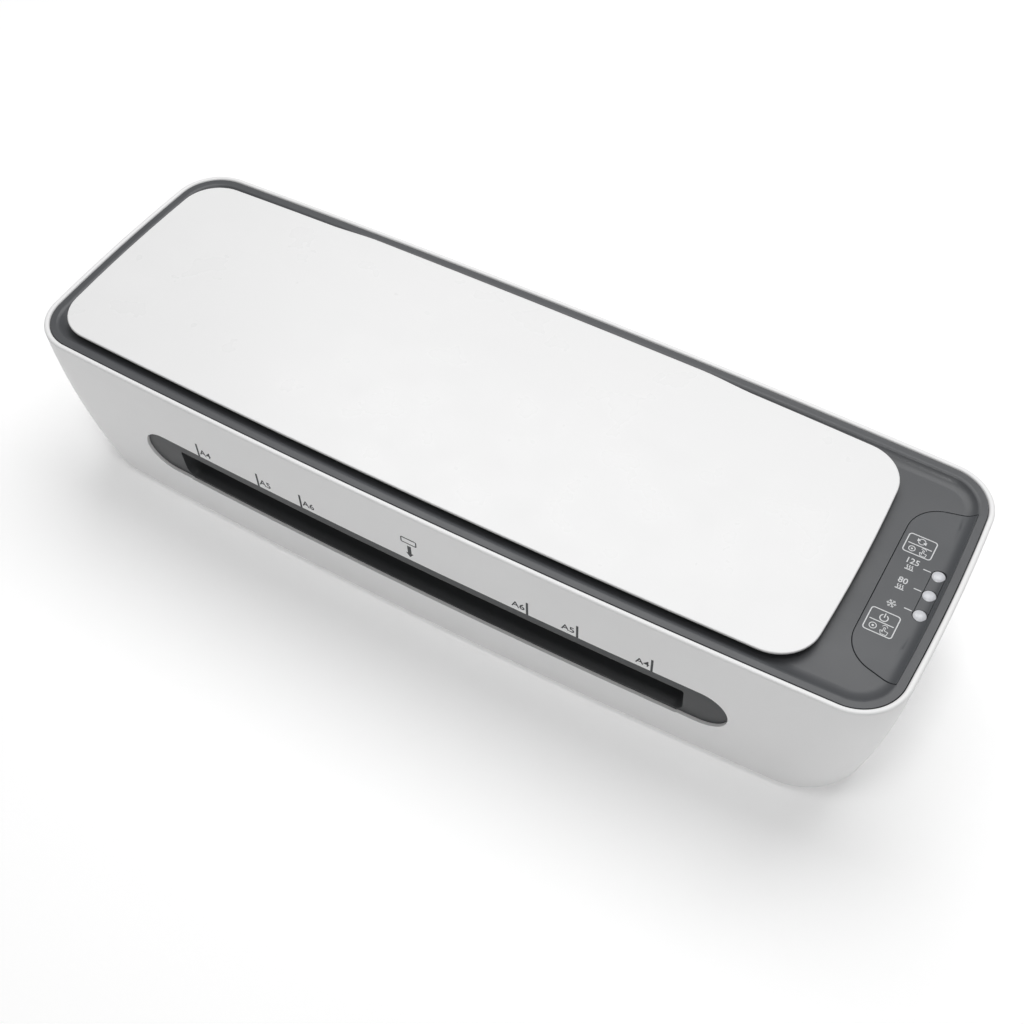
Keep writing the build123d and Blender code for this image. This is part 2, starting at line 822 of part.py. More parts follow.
with BuildPart() as control_key:
    key_blank = key_face(Plane.XY.offset(key_bottom_z))
    add(extrude(key_blank, amount=deck_top_z - key_bottom_z, mode=Mode.PRIVATE))
    add(deck_body.part, mode=Mode.INTERSECT)
    top_edges = edges().filter_by_position(Axis.Z, deck_floor_z - 0.01, deck_floor_z + 0.01)
    fillet(top_edges.filter_by_position(Axis.X, key_left - 1, lens_x), radius=0.25)
    # Slot for the lenses and the strip between them
    with BuildSketch(Plane.XY.offset(key_bottom_z)):
        with Locations((lens_x, lens_middle)):
            Rectangle(strip_width + 2 * strip_gap, lens_span)
        with Locations(*lens_places):
            Circle(lens_hole_radius)
    extrude(amount=deck_top_z - key_bottom_z, mode=Mode.SUBTRACT)
    # Pressers over the two switches
    with BuildSketch(Plane.XY.offset(presser_z)):
        with Locations((switch_x, -switch_y), (switch_x, switch_y)):
            Circle(2)
    extrude(amount=key_bottom_z - presser_z)
    # Lugs on the pivot pin
    for x in lug_xs:
        with BuildSketch(Plane.YZ.offset(x - 1)):
            with Locations((0, (key_bottom_z + key_pivot_z) / 2 - 1)):
                Rectangle(5, key_bottom_z - key_pivot_z + 2)
            with Locations((0, key_pivot_z)):
                Circle(key_pin_radius + running_gap, mode=Mode.SUBTRACT)
        extrude(amount=2)
save(control_key.part, "control_key")

with BuildPart() as key_pivot_pin:
    add(rod(ear_xs[0] - 1.4, ear_xs[1] + 1.4, (0, key_pivot_z), key_pin_radius))
save(key_pivot_pin.part, "key_pivot_pin")

control_bracket_thickness = 2.0
control_bracket_length = 109.0
control_bracket_width = 29.0
control_bracket_x = 171.5
board_width = 24.4
board_length = 80.0
board_x = 175.2

with BuildPart() as control_bracket:
    with BuildSketch(Plane.XY.offset(bracket_top_z - control_bracket_thickness)):
        with Locations((control_bracket_x, 0)):
            rectangle = Rectangle(control_bracket_width, control_bracket_length)
        corners = rectangle.vertices().group_by(Axis.X)
        fillet(corners[-1], radius=14)
        fillet(corners[0], radius=3)
        with Locations(*key_bracket_screws, *control_board_screws):
            Circle(small_screw_radius, mode=Mode.SUBTRACT)
    extrude(amount=control_bracket_thickness)
    # Spacers under the control board
    with BuildSketch(Plane.XY.offset(bracket_top_z)):
        with Locations(*control_board_screws):
            Circle(2.5)
            Circle(small_screw_radius, mode=Mode.SUBTRACT)
    extrude(amount=board_top_z - board_thickness - bracket_top_z)
    # Ears that hold the key's pivot pin
    for x in ear_xs:
        with BuildSketch(Plane.YZ.offset(x - 1)):
            with Locations((0, bracket_top_z)):
                Rectangle(6, key_pivot_z + 1.8 - bracket_top_z, align=(Align.CENTER, Align.MIN))
            with Locations((0, key_pivot_z)):
                Circle(key_pin_radius, mode=Mode.SUBTRACT)
        extrude(amount=2)
save(control_bracket.part, "control_bracket")

with BuildPart() as control_board:
    with BuildSketch(Plane.XY.offset(board_top_z - board_thickness)):
        with Locations((board_x, 0)):
            Rectangle(board_width, board_length)
        with Locations(*[(x, 0) for x in ear_xs]):
            Rectangle(3, 7, mode=Mode.SUBTRACT)
        with Locations(*control_board_screws):
            Circle(small_screw_radius, mode=Mode.SUBTRACT)
    extrude(amount=board_thickness)
save(control_board.part, "control_board")

stem_foot_z = board_top_z + 2.35
well_depth = 1.5

with BuildPart() as tact_switches:
    for y in (-switch_y, switch_y):
        with BuildSketch(Plane.XY.offset(board_top_z)):
            with Locations((switch_x, y)):
                Rectangle(switch_size, switch_size)
        extrude(amount=switch_body_height)
        with BuildSketch(Plane.XY.offset(board_top_z + switch_body_height)):
            with Locations((switch_x, y)):
                Circle(stem_radius + 0.08)
        extrude(amount=-well_depth, mode=Mode.SUBTRACT)
save(tact_switches.part, "tact_switches")

for name, y in (("power", -switch_y), ("mode", switch_y)):
    with BuildPart() as stem:
        with BuildSketch(Plane.XY.offset(stem_foot_z)):
            with Locations((switch_x, y)):
                Circle(stem_radius)
        extrude(amount=switch_top_z - stem_foot_z)
    save(stem.part, f"{name}_switch_stem")

# Top of the strip, which runs on from the key's surface and leaves room for the lenses
with BuildPart() as strip_top:
    with BuildSketch(Plane.XY.offset(lens_seat_z)):
        with Locations((lens_x, lens_middle)):
            Rectangle(strip_width, lens_span)
        with Locations(*lens_places):
            Circle(lens_radius + 0.1, mode=Mode.SUBTRACT)
    extrude(amount=deck_top_z - lens_seat_z)
    deck_above = deck_body.part + Plane.XY.offset(lens_seat_z) * Box(
        2 * rim_half_length,
        2 * rim_half_depth,
        key_bottom_z - lens_seat_z,
        align=(Align.CENTER, Align.CENTER, Align.MIN),
    )
    add(deck_above, mode=Mode.INTERSECT)

with BuildPart() as indicator_strip:
    add(strip_top.part)
    with BuildSketch(Plane.XY.offset(strip_base_z)):
        with Locations((lens_x, lens_middle)):
            Rectangle(strip_body_width, strip_body_length)
        with Locations(*lens_places):
            Circle(lens_stem_radius + 0.05, mode=Mode.SUBTRACT)
    extrude(amount=lens_seat_z - strip_base_z)
    # Legs on the control board
    with BuildSketch(Plane.XY.offset(board_top_z)):
        with Locations((lens_x, lens_middle)):
            with GridLocations(0, strip_body_length - 1.8, 1, 2):
                Rectangle(strip_width - 0.4, 1.6)
    extrude(amount=strip_base_z - board_top_z)
save(indicator_strip.part, "indicator_strip")

dome_height = 0.7
dome_base_z = deck_floor_z - 0.1
dome_radius = bow_radius(lens_radius, dome_height)
for name, y in lens_ys.items():
    with BuildPart() as lens:
        with Locations((lens_x, y, dome_base_z + dome_height - dome_radius)):
            Sphere(dome_radius)
        split(bisect_by=Plane.XY.offset(dome_base_z), keep=Keep.TOP)
        with BuildSketch(Plane.XY.offset(lens_seat_z)):
            with Locations((lens_x, y)):
                Circle(lens_radius)
        extrude(amount=dome_base_z - lens_seat_z)
        with BuildSketch(Plane.XY.offset(lens_foot_z)):
            with Locations((lens_x, y)):
                Circle(lens_stem_radius)
        extrude(amount=lens_seat_z - lens_foot_z)
    save(lens.part, f"indicator_lens_{name}")

with BuildPart() as indicator_leds:
    for place in lens_places:
        with BuildSketch(Plane.XY.offset(board_top_z)):
            with Locations(place):
                Circle(led_radius)
        extrude(amount=led_height)
    fillet(edges().group_by(Axis.Z)[-1], radius=0.8 * led_radius)
save(indicator_leds.part, "indicator_leds")

# --- chassis ----------------------------------------------------------------------------------------------

tie_bar_axes = [(-37.0, 19.0), (-37.0, 66.0), (38.0, 66.0)]
heater_screw_ys = (-26.0, -2.0)
heater_zs = {
    "lower": path_z - heater_gap - heater_thickness / 2,
    "upper": path_z + heater_gap + heater_thickness / 2,
}
heater_screw_axes = [(y, z) for y in heater_screw_ys for z in heater_zs.values()]
guide_zs = {"lower": path_z - 1.7 - guide_thickness / 2, "upper": path_z + 1.7 + guide_thickness / 2}
guide_pegs = [(y, z) for y in (37.0, 48.0) for z in guide_zs.values()]
peg_radius = 0.9


def side_plane(x, side):
    """Upright plane across the rollers that faces outwards on one side."""
    return Plane(origin=(side * x, 0, 0), x_dir=(0, side, 0), z_dir=(side, 0, 0))


def at_side(points, side):
    """Points given as (y, z), turned to an outward-facing plane's own directions."""
    return [(side * y, z) for y, z in points]


for name, side in (("left", -1), ("right", 1)):
    with BuildPart() as frame:
        with BuildSketch(side_plane(frame_inner_x, side)):
            with BuildLine():
                Polyline(
                    *at_side(
                        [
                            (frame_front_y, frame_foot_z),
                            (frame_rear_y, frame_foot_z),
                            (frame_rear_y, 54),
                            (frame_rear_y - 8, frame_top_z),
                            (frame_front_y, frame_top_z),
                        ],
                        side,
                    ),
                    close=True,
                )
            make_face()
            with Locations(*at_side(tie_bar_axes + heater_screw_axes, side)):
                Circle(screw_radius, mode=Mode.SUBTRACT)
            with Locations(*at_side(guide_pegs, side)):
                Circle(peg_radius, mode=Mode.SUBTRACT)
            with Locations(*at_side([lower_axis], side)):
                Circle(bush_radius, mode=Mode.SUBTRACT)
            # Slot that the upper bush slides in, with a nub that centres the spring
            slot_bottom_z = upper_axis[1] - slider_half_height - 0.3
            with Locations(*at_side([(roller_y, slot_bottom_z)], side)):
                Rectangle(
                    2 * slot_half_width,
                    slot_top_z - slot_bottom_z,
                    align=(Align.CENTER, Align.MIN),
                    mode=Mode.SUBTRACT,
                )
            with Locations(*at_side([(roller_y, slot_top_z)], side)):
                Rectangle(2.8, 3, align=(Align.CENTER, Align.MAX))
            if side < 0:
                with Locations(*at_side([idler_axis], side)):
                    Circle(idler_post_radius - 1, mode=Mode.SUBTRACT)
        extrude(amount=sheet)
        # Foot bent outwards
        with BuildSketch(Plane.XY.offset(frame_foot_z)):
            with Locations((side * (frame_inner_x + 5.5), (frame_front_y + frame_rear_y) / 2)):
                Rectangle(11, frame_rear_y - frame_front_y)
            with Locations(*[(x, y) for x, y in frame_screws if x * side > 0]):
                Circle(screw_radius + 0.1, mode=Mode.SUBTRACT)
        extrude(amount=sheet)
    save(frame.part, f"side_frame_{name}")

with BuildPart() as tie_bars:
    for axis in tie_bar_axes:
        add(rod(-frame_inner_x, frame_inner_x, axis, 3.5))
        for side in (-1, 1):
            with BuildSketch(side_plane(frame_inner_x, side)):
                with Locations(*at_side([axis], side)):
                    Circle(screw_radius)
            extrude(amount=-10, mode=Mode.SUBTRACT)
save(tie_bars.part, "tie_bars")

# --- heater plates and what is fixed to them --------------------------------------------------------------

element_half_length = 105.0
element_half_width = 10.0
element_thickness = 2.6
element_pocket_depth = 3.0
heater_middle_y = (heater_front_y + heater_rear_y) / 2

for name, outward in (("lower", -1), ("upper", 1)):
    inner_z = path_z + outward * heater_gap
    outer_z = inner_z + outward * heater_thickness
    with BuildPart() as plate:
        with BuildSketch(Plane.XY.offset(min(inner_z, outer_z))):
            with Locations((0, heater_middle_y)):
                Rectangle(2 * frame_inner_x, heater_rear_y - heater_front_y)
        extrude(amount=heater_thickness)
        front_edges = edges().filter_by(Axis.X).group_by(Axis.Y)[0].sort_by(Axis.Z)
        leading_edge = front_edges[-1] if outward < 0 else front_edges[0]
        chamfer(leading_edge, length=3.2, length2=2.2)
        with BuildSketch(Plane.XY.offset(outer_z)):
            with Locations((0, heater_middle_y)):
                Rectangle(2 * element_half_length + 1, 2 * element_half_width + 1)
        extrude(amount=-outward * element_pocket_depth, mode=Mode.SUBTRACT)
        for side in (-1, 1):
            with BuildSketch(side_plane(frame_inner_x, side)):
                with Locations(*at_side([(y, heater_zs[name]) for y in heater_screw_ys], side)):
                    Circle(screw_radius)
            extrude(amount=-9, mode=Mode.SUBTRACT)
    save(plate.part, f"{name}_heater_plate")

    with BuildPart() as element:
        with BuildSketch(Plane.XY.offset(outer_z - outward * element_pocket_depth)):
            with Locations((0, heater_middle_y)):
                RectangleRounded(2 * element_half_length, 2 * element_half_width, 2)
        extrude(amount=outward * element_thickness)
    save(element.part, f"{name}_heating_element")

heater_top_z = path_z + heater_gap + heater_thickness
thermostat_at = (25.0, heater_middle_y)
thermostat_radius = 8.0
thermostat_height = 7.0
tab_height = 6.0
strap_thickness = 1.2
fuse_x = -30.0
fuse_strap_width = 16.0
fuse_strap_length = 26.0
fuse_radius = 2.6

with BuildPart() as thermostat:
    with BuildSketch(Plane.XY.offset(heater_top_z)):
        with Locations(thermostat_at):
            SlotOverall(34, 12, rotation=90)
    extrude(amount=strap_thickness)
    with BuildSketch(Plane.XY.offset(heater_top_z + strap_thickness)):
        with Locations(thermostat_at):
            Circle(thermostat_radius)
    extrude(amount=thermostat_height)
    # Blade terminals
    with BuildSketch(Plane.XY.offset(heater_top_z + strap_thickness + thermostat_height)):
        with Locations(thermostat_at):
            with GridLocations(thermostat_radius, 0, 2, 1):
                Rectangle(0.8, 6)
    extrude(amount=tab_height)
save(thermostat.part, "thermostat")

with BuildPart() as thermal_fuse:
    with BuildSketch(Plane.XY.offset(heater_top_z)):
        with Locations((fuse_x, heater_middle_y)):
            Rectangle(fuse_strap_width, fuse_strap_length)
    extrude(amount=1)
    with BuildSketch(Plane.YZ.offset(fuse_x - fuse_strap_width / 2)):
        with Locations((heater_middle_y, heater_top_z + 3)):
            Circle(fuse_radius)
    extrude(amount=fuse_strap_width)
save(thermal_fuse.part, "thermal_fuse")

for name, outward in (("lower", -1), ("upper", 1)):
    inner_z = guide_zs[name] - outward * guide_thickness / 2
    with BuildPart() as guide:
        with BuildSketch(Plane.XY.offset(min(inner_z, inner_z + outward * guide_thickness))):
            with Locations((0, (guide_front_y + guide_rear_y) / 2)):
                Rectangle(2 * frame_inner_x - 0.4, guide_rear_y - guide_front_y)
        extrude(amount=guide_thickness)
        # Stiffening ribs on the side away from the pouch
        with BuildSketch(Plane.XY.offset(inner_z + outward * guide_thickness)):
            with Locations((0, (guide_front_y + guide_rear_y) / 2 + 2)):
                with GridLocations(30, 0, 8, 1):
                    Rectangle(1.4, guide_rear_y - guide_front_y - 6)
        extrude(amount=outward * 3)
        for side in (-1, 1):
            with BuildSketch(side_plane(frame_inner_x - 0.2, side)):
                with Locations(*at_side([peg for peg in guide_pegs if peg[1] == guide_zs[name]], side)):
                    Circle(peg_radius - 0.05)
            extrude(amount=sheet + 0.2)
    save(guide.part, f"exit_guide_{name}")

# --- rollers, bushes and springs --------------------------------------------------------------------------

shaft_left_x = -140.0
shaft_right_x = 130.0
clip_x = 127.6
idler_first_tooth = 180 / idler_teeth
pinion_first_tooth = pinion_direction + 180 + 180 / pinion_teeth
upper_first_tooth = 270 + 180 / roller_teeth

for name, axis, first_tooth in (("lower", lower_axis, 180), ("upper", upper_axis, upper_first_tooth)):
    with BuildPart() as shaft:
        add(rod(shaft_left_x, shaft_right_x, axis, shaft_radius))
        # Groove for the retaining clip
        with BuildSketch(across_plane(clip_x, axis)):
            Circle(shaft_radius + 1)
            Circle(shaft_radius - 0.6, mode=Mode.SUBTRACT)
        extrude(amount=0.8, mode=Mode.SUBTRACT)
        chamfer(edges().group_by(Axis.X)[0] + edges().group_by(Axis.X)[-1], length=0.6)
    save(shaft.part, f"{name}_roller_shaft")

    with BuildPart() as sleeve:
        with BuildSketch(across_plane(-roller_half_length, axis)):
            Circle(roller_radius)
            Circle(shaft_radius, mode=Mode.SUBTRACT)
        extrude(amount=2 * roller_half_length)
    save(sleeve.part, f"{name}_roller_sleeve")

    save(spur_gear(roller_teeth, first_tooth, axis, shaft_radius), f"{name}_roller_gear")
    save(retaining_clip(clip_x, axis, shaft_radius - 0.6), f"{name}_roller_clip")

with BuildPart() as lower_roller_bushes:
    for side in (-1, 1):
        with BuildSketch(side_plane(frame_inner_x - 1.5, side)):
            with Locations(*at_side([lower_axis], side)):
                Circle(bush_radius + 1.5)
                Circle(shaft_radius + running_gap, mode=Mode.SUBTRACT)
        extrude(amount=1.5)
        with BuildSketch(side_plane(frame_inner_x, side)):
            with Locations(*at_side([lower_axis], side)):
                Circle(bush_radius)
                Circle(shaft_radius + running_gap, mode=Mode.SUBTRACT)
        extrude(amount=3)
save(lower_roller_bushes.part, "lower_roller_bushes")

slider_top_z = upper_axis[1] + slider_half_height

with BuildPart() as upper_roller_bushes:
    for side in (-1, 1):
        with BuildSketch(side_plane(frame_inner_x - 1.6, side)):
            with Locations(*at_side([upper_axis], side)):
                Rectangle(16, 2 * slider_half_height)
                Circle(shaft_radius + running_gap, mode=Mode.SUBTRACT)
        extrude(amount=1.2)
        with BuildSketch(side_plane(frame_inner_x - 0.4, side)):
            with Locations(*at_side([upper_axis], side)):
                Rectangle(2 * slider_half_width, 2 * slider_half_height)
                Circle(shaft_radius + running_gap, mode=Mode.SUBTRACT)
        extrude(amount=3.2)
        # Peg inside the spring
        with BuildSketch(Plane.XY.offset(slider_top_z)):
            with Locations((side * (frame_inner_x + sheet / 2), roller_y)):
                Circle(1.2)
        extrude(amount=2.5)
save(upper_roller_bushes.part, "upper_roller_bushes")

spring_bottom_z = slider_top_z + 0.1 + spring_wire / 2
spring_top_z = slot_top_z - 0.1 - spring_wire / 2
spring_turns = 6

for name, side in (("left", -1), ("right", 1)):
    spring_x = side * (frame_inner_x + sheet / 2)
    with BuildPart() as spring:
        with BuildLine():
            coil = Helix(
                pitch=(spring_top_z - spring_bottom_z) / spring_turns,
                height=spring_top_z - spring_bottom_z,
                radius=spring_radius,
                center=(spring_x, roller_y, spring_bottom_z),
            )
        with BuildSketch(Plane(origin=coil @ 0, z_dir=coil % 0)):
            Circle(spring_wire / 2)
        sweep(path=coil, is_frenet=True)
    save(spring.part, f"pressure_spring_{name}")

# --- gear train and motor ---------------------------------------------------------------------------------

post_end_x = gear_left_x - 2.0

save(
    spur_gear(idler_teeth, idler_first_tooth, idler_axis, idler_post_radius + running_gap),
    "idler_gear",
)
save(spur_gear(pinion_teeth, pinion_first_tooth, pinion_axis, motor_shaft_radius), "motor_pinion")

with BuildPart() as idler_post:
    add(rod(post_end_x, -frame_outer_x, idler_axis, idler_post_radius))
    add(rod(-frame_outer_x, -frame_inner_x, idler_axis, idler_post_radius - 1))
    add(rod(gear_left_x + gear_width + 0.3, -frame_outer_x, idler_axis, idler_post_radius + 0.6))
    with BuildSketch(across_plane(post_end_x + 0.6, idler_axis)):
        Circle(idler_post_radius + 1)
        Circle(idler_post_radius - 0.6, mode=Mode.SUBTRACT)
    extrude(amount=0.8, mode=Mode.SUBTRACT)
save(idler_post.part, "idler_post")
save(retaining_clip(post_end_x + 0.6, idler_axis, idler_post_radius - 0.6), "idler_clip")

motor_ears = [
    (
        motor_axis[0] + sign * ear_reach * cos(radians(ear_angle)),
        motor_axis[1] + sign * ear_reach * sin(radians(ear_angle)),
    )
    for sign in (-1, 1)
]
shaft_boss_radius = 6.0
motor_face_x = bracket_x - sheet

with BuildPart() as gear_motor:
    add(rod(motor_face_x - motor_length, motor_face_x, motor_axis, motor_radius))
    fillet(edges().group_by(Axis.X)[0], radius=1.5)
    # Mounting ears
    with BuildSketch(across_plane(motor_face_x - 1.2, (0, 0))):
        with BuildLine():
            Line(*motor_ears)
        trace(line_width=7)
        with Locations(*motor_ears):
            Circle(4)
            Circle(screw_radius, mode=Mode.SUBTRACT)
    extrude(amount=1.2)
    add(rod(motor_face_x, bracket_x + 1.6, pinion_axis, shaft_boss_radius))
    with BuildSketch(across_plane(bracket_x + 1.6, pinion_axis)):
        Circle(motor_shaft_radius + running_gap)
    extrude(amount=-12, mode=Mode.SUBTRACT)
save(gear_motor.part, "gear_motor")

with BuildPart() as motor_shaft:
    add(rod(bracket_x - 8, gear_left_x + gear_width + 0.5, pinion_axis, motor_shaft_radius))
save(motor_shaft.part, "motor_shaft")

motor_plate_top_z = 66.0
motor_plate_front_y = -56.0
motor_plate_rear_y = 10.0

with BuildPart() as motor_bracket:
    with BuildSketch(across_plane(motor_face_x, (0, 0))):
        with BuildLine():
            Polyline(
                (motor_plate_front_y + 2, frame_foot_z),
                (motor_plate_rear_y, frame_foot_z),
                (motor_plate_rear_y, motor_plate_top_z),
                (motor_plate_front_y + 14, motor_plate_top_z),
                (motor_plate_front_y, motor_plate_top_z - 20),
                (motor_plate_front_y, frame_foot_z + 8),
                close=True,
            )
        make_face()
        with Locations(*motor_ears):
            Circle(screw_radius, mode=Mode.SUBTRACT)
        with Locations(pinion_axis):
            Circle(shaft_boss_radius, mode=Mode.SUBTRACT)
    extrude(amount=sheet)
    with BuildSketch(Plane.XY.offset(frame_foot_z)):
        with Locations((motor_face_x - 5.5, -23)):
            Rectangle(14.2, 52)
        with Locations(*motor_foot_screws):
            Circle(screw_radius + 0.1, mode=Mode.SUBTRACT)
    extrude(amount=sheet)
save(motor_bracket.part, "motor_bracket")

# --- power board ------------------------------------------------------------------------------------------

power_board_width = 44.0
power_board_length = 80.0
front_row_y = -18.0
left_column_x = board_centre_x - 10
right_column_x = board_centre_x + 9

with BuildPart() as power_board:
    with BuildSketch(Plane.XY.offset(board_z)):
        with Locations((board_centre_x, 0)):
            RectangleRounded(power_board_width, power_board_length, 2)
        with Locations(*board_posts):
            Circle(small_screw_radius, mode=Mode.SUBTRACT)
    extrude(amount=board_thickness)
save(power_board.part, "power_board")

component_z = board_z + board_thickness
capacitor_radius = 8.0
capacitor_height = 24.0
relay_height = 15.0
fuse_clip_y = 6.0
fuse_clip_pitch = 18.0
fuse_clip_height = 8.0
mains_fuse_length = 22.0
terminal_y = 12.0
terminal_height = 12.0
terminal_pitch = 7.0
terminal_ways = 4

with BuildPart() as filter_capacitor:
    with BuildSketch(Plane.XY.offset(component_z)):
        with Locations((left_column_x, front_row_y)):
            Circle(capacitor_radius)
    extrude(amount=capacitor_height)
    fillet(edges().group_by(Axis.Z)[-1], radius=1.2)
save(filter_capacitor.part, "filter_capacitor")

with BuildPart() as relay:
    with BuildSketch(Plane.XY.offset(component_z)):
        with Locations((right_column_x, front_row_y)):
            Rectangle(15.4, 19)
    extrude(amount=relay_height)
    chamfer(edges().group_by(Axis.Z)[-1], length=0.6)
save(relay.part, "relay")

with BuildPart() as mains_fuse:
    with BuildSketch(Plane.XY.offset(component_z)):
        with Locations((left_column_x, fuse_clip_y)):
            with GridLocations(0, fuse_clip_pitch, 1, 2):
                Rectangle(7, 4)
    extrude(amount=fuse_clip_height)
    with BuildSketch(Plane.XZ.offset(mains_fuse_length / 2 - fuse_clip_y)):
        with Locations((left_column_x, component_z + 5)):
            Circle(2.6)
    extrude(amount=-mains_fuse_length)
save(mains_fuse.part, "mains_fuse")

with BuildPart() as terminal_block:
    with BuildSketch(Plane.XY.offset(component_z)):
        with Locations((right_column_x, terminal_y)):
            Rectangle(terminal_height, terminal_pitch * terminal_ways + 2)
    extrude(amount=terminal_height)
    with BuildSketch(Plane.XY.offset(component_z + terminal_height)):
        with Locations((right_column_x, terminal_y)):
            with GridLocations(0, terminal_pitch, 1, terminal_ways):
                Circle(2)
    extrude(amount=-4, mode=Mode.SUBTRACT)
save(terminal_block.part, "terminal_block")

# --- screws -----------------------------------------------------------------------------------------------

with BuildPart() as housing_screws:
    for x, y in housing_screws_at:
        add(flat_screw(Plane(origin=(x, y, foot_height), z_dir=(0, 0, -1)), screw_radius, 8))
save(housing_screws.part, "housing_screws")

with BuildPart() as chassis_screws:
    for x, y in frame_screws + motor_foot_screws:
        add(pan_screw(Plane(origin=(x, y, frame_foot_z + sheet)), screw_radius, 8))
    for side in (-1, 1):
        for y, z in tie_bar_axes + heater_screw_axes:
            plane = Plane(origin=(side * frame_outer_x, y, z), x_dir=(0, 1, 0), z_dir=(side, 0, 0))
            add(pan_screw(plane, screw_radius, 8))
    for y, z in motor_ears:
        plane = Plane(origin=(motor_face_x - 1.2, y, z), x_dir=(0, 1, 0), z_dir=(-1, 0, 0))
        add(pan_screw(plane, screw_radius, 4))
save(chassis_screws.part, "chassis_screws")

with BuildPart() as board_screws:
    for x, y in board_posts:
        add(pan_screw(Plane(origin=(x, y, component_z)), small_screw_radius, 7))
    for x, y in control_board_screws:
        add(pan_screw(Plane(origin=(x, y, board_top_z)), small_screw_radius, 4.5))
    for x, y in key_bracket_screws:
        plane = Plane(origin=(x, y, bracket_top_z - control_bracket_thickness), z_dir=(0, 0, -1))
        add(pan_screw(plane, small_screw_radius, 9))
save(board_screws.part, "board_screws")
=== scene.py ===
"""Looks of the pouch laminator: materials for the CAD pieces, printed marks, springs, studio and camera."""

import json
from math import cos, pi, radians, sin, tau

import bmesh
import bpy
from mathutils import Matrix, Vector
from mathutils.bvhtree import BVHTree


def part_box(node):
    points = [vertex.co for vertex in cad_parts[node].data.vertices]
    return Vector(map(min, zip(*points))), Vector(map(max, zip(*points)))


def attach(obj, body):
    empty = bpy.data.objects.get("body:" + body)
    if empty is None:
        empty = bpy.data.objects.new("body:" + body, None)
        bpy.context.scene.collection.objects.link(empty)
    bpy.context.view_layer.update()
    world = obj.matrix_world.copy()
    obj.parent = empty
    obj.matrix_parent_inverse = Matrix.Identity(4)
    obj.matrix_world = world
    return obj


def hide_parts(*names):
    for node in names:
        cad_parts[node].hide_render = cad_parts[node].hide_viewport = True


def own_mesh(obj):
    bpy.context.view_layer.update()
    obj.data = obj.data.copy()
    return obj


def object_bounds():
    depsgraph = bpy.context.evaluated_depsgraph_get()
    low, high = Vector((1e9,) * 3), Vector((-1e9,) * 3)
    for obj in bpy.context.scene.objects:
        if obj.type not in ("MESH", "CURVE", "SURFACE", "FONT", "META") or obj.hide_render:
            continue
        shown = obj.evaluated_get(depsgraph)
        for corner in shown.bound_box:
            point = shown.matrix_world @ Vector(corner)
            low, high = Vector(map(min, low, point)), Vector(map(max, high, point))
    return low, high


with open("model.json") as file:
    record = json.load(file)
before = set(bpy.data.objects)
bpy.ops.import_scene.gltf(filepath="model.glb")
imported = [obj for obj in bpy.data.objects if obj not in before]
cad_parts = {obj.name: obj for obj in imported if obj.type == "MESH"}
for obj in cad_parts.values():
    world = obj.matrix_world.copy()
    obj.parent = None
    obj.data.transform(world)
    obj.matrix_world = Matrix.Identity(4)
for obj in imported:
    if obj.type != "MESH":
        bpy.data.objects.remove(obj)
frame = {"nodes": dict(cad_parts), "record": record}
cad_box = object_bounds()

MM = 0.001
nodes = frame["nodes"]
record = frame["record"]
finishes = {entry["slot"]: entry["base_color"] for entry in record["materials"]}
low, high = cad_box
middle = (low + high) / 2

# --- camera, light and floor ------------------------------------------------------------------------------

view_azimuth = radians(30.07)
view_elevation = radians(51.54)
view_distance = 0.6034
view_offset = Vector((17.8, -16.7, 0)) * MM
view_lens = 51.3

world_light = 0.2
floor_glow = 0.2
floor_shade = 0.93
floor_radius = 6.0
background = 1.0
overhead_power = 14.8
overhead_size = (1.5, 1.0)
overhead_place = Vector((-0.05, 0.5, 1.3))
side_power = 0.6
side_size = 0.9
side_place = Vector((1.2, -0.6, 0.75))
front_power = 3.0
front_size = 0.25
front_place = Vector((0.1, -0.42, 1.35))


def make_camera():
    """Camera that looks down on the entry side from the right."""
    lens = bpy.data.cameras.new("camera")
    lens.lens = view_lens
    lens.clip_start = 0.02
    lens.clip_end = 50
    camera = bpy.data.objects.new("camera", lens)
    bpy.context.scene.collection.objects.link(camera)
    back = Vector(
        (
            sin(view_azimuth) * cos(view_elevation),
            -cos(view_azimuth) * cos(view_elevation),
            sin(view_elevation),
        )
    )
    camera.location = middle + view_offset + back * view_distance
    camera.rotation_euler = (pi / 2 - view_elevation, 0, view_azimuth)
    bpy.context.scene.camera = camera


def make_softbox(name, place, aim, power, size_x, size_y):
    """Rectangular area light turned towards a point."""
    light = bpy.data.lights.new(name, "AREA")
    light.shape = "RECTANGLE"
    light.size = size_x
    light.size_y = size_y
    light.energy = power
    lamp = bpy.data.objects.new(name, light)
    lamp.location = place
    lamp.rotation_euler = (aim - place).to_track_quat("-Z", "Y").to_euler()
    bpy.context.scene.collection.objects.link(lamp)


def make_world():
    """Even light all round, and a white background behind the floor."""
    world = bpy.data.worlds.new("studio")
    world.use_nodes = True
    tree = world.node_tree
    tree.nodes.clear()
    fill = tree.nodes.new("ShaderNodeBackground")
    fill.inputs["Color"].default_value = (1, 1, 1, 1)
    fill.inputs["Strength"].default_value = world_light
    seen = tree.nodes.new("ShaderNodeBackground")
    seen.inputs["Color"].default_value = (1, 1, 1, 1)
    seen.inputs["Strength"].default_value = background
    path = tree.nodes.new("ShaderNodeLightPath")
    mix = tree.nodes.new("ShaderNodeMixShader")
    output = tree.nodes.new("ShaderNodeOutputWorld")
    tree.links.new(path.outputs["Is Camera Ray"], mix.inputs["Fac"])
    tree.links.new(fill.outputs["Background"], mix.inputs[1])
    tree.links.new(seen.outputs["Background"], mix.inputs[2])
    tree.links.new(mix.outputs["Shader"], output.inputs["Surface"])
    bpy.context.scene.world = world


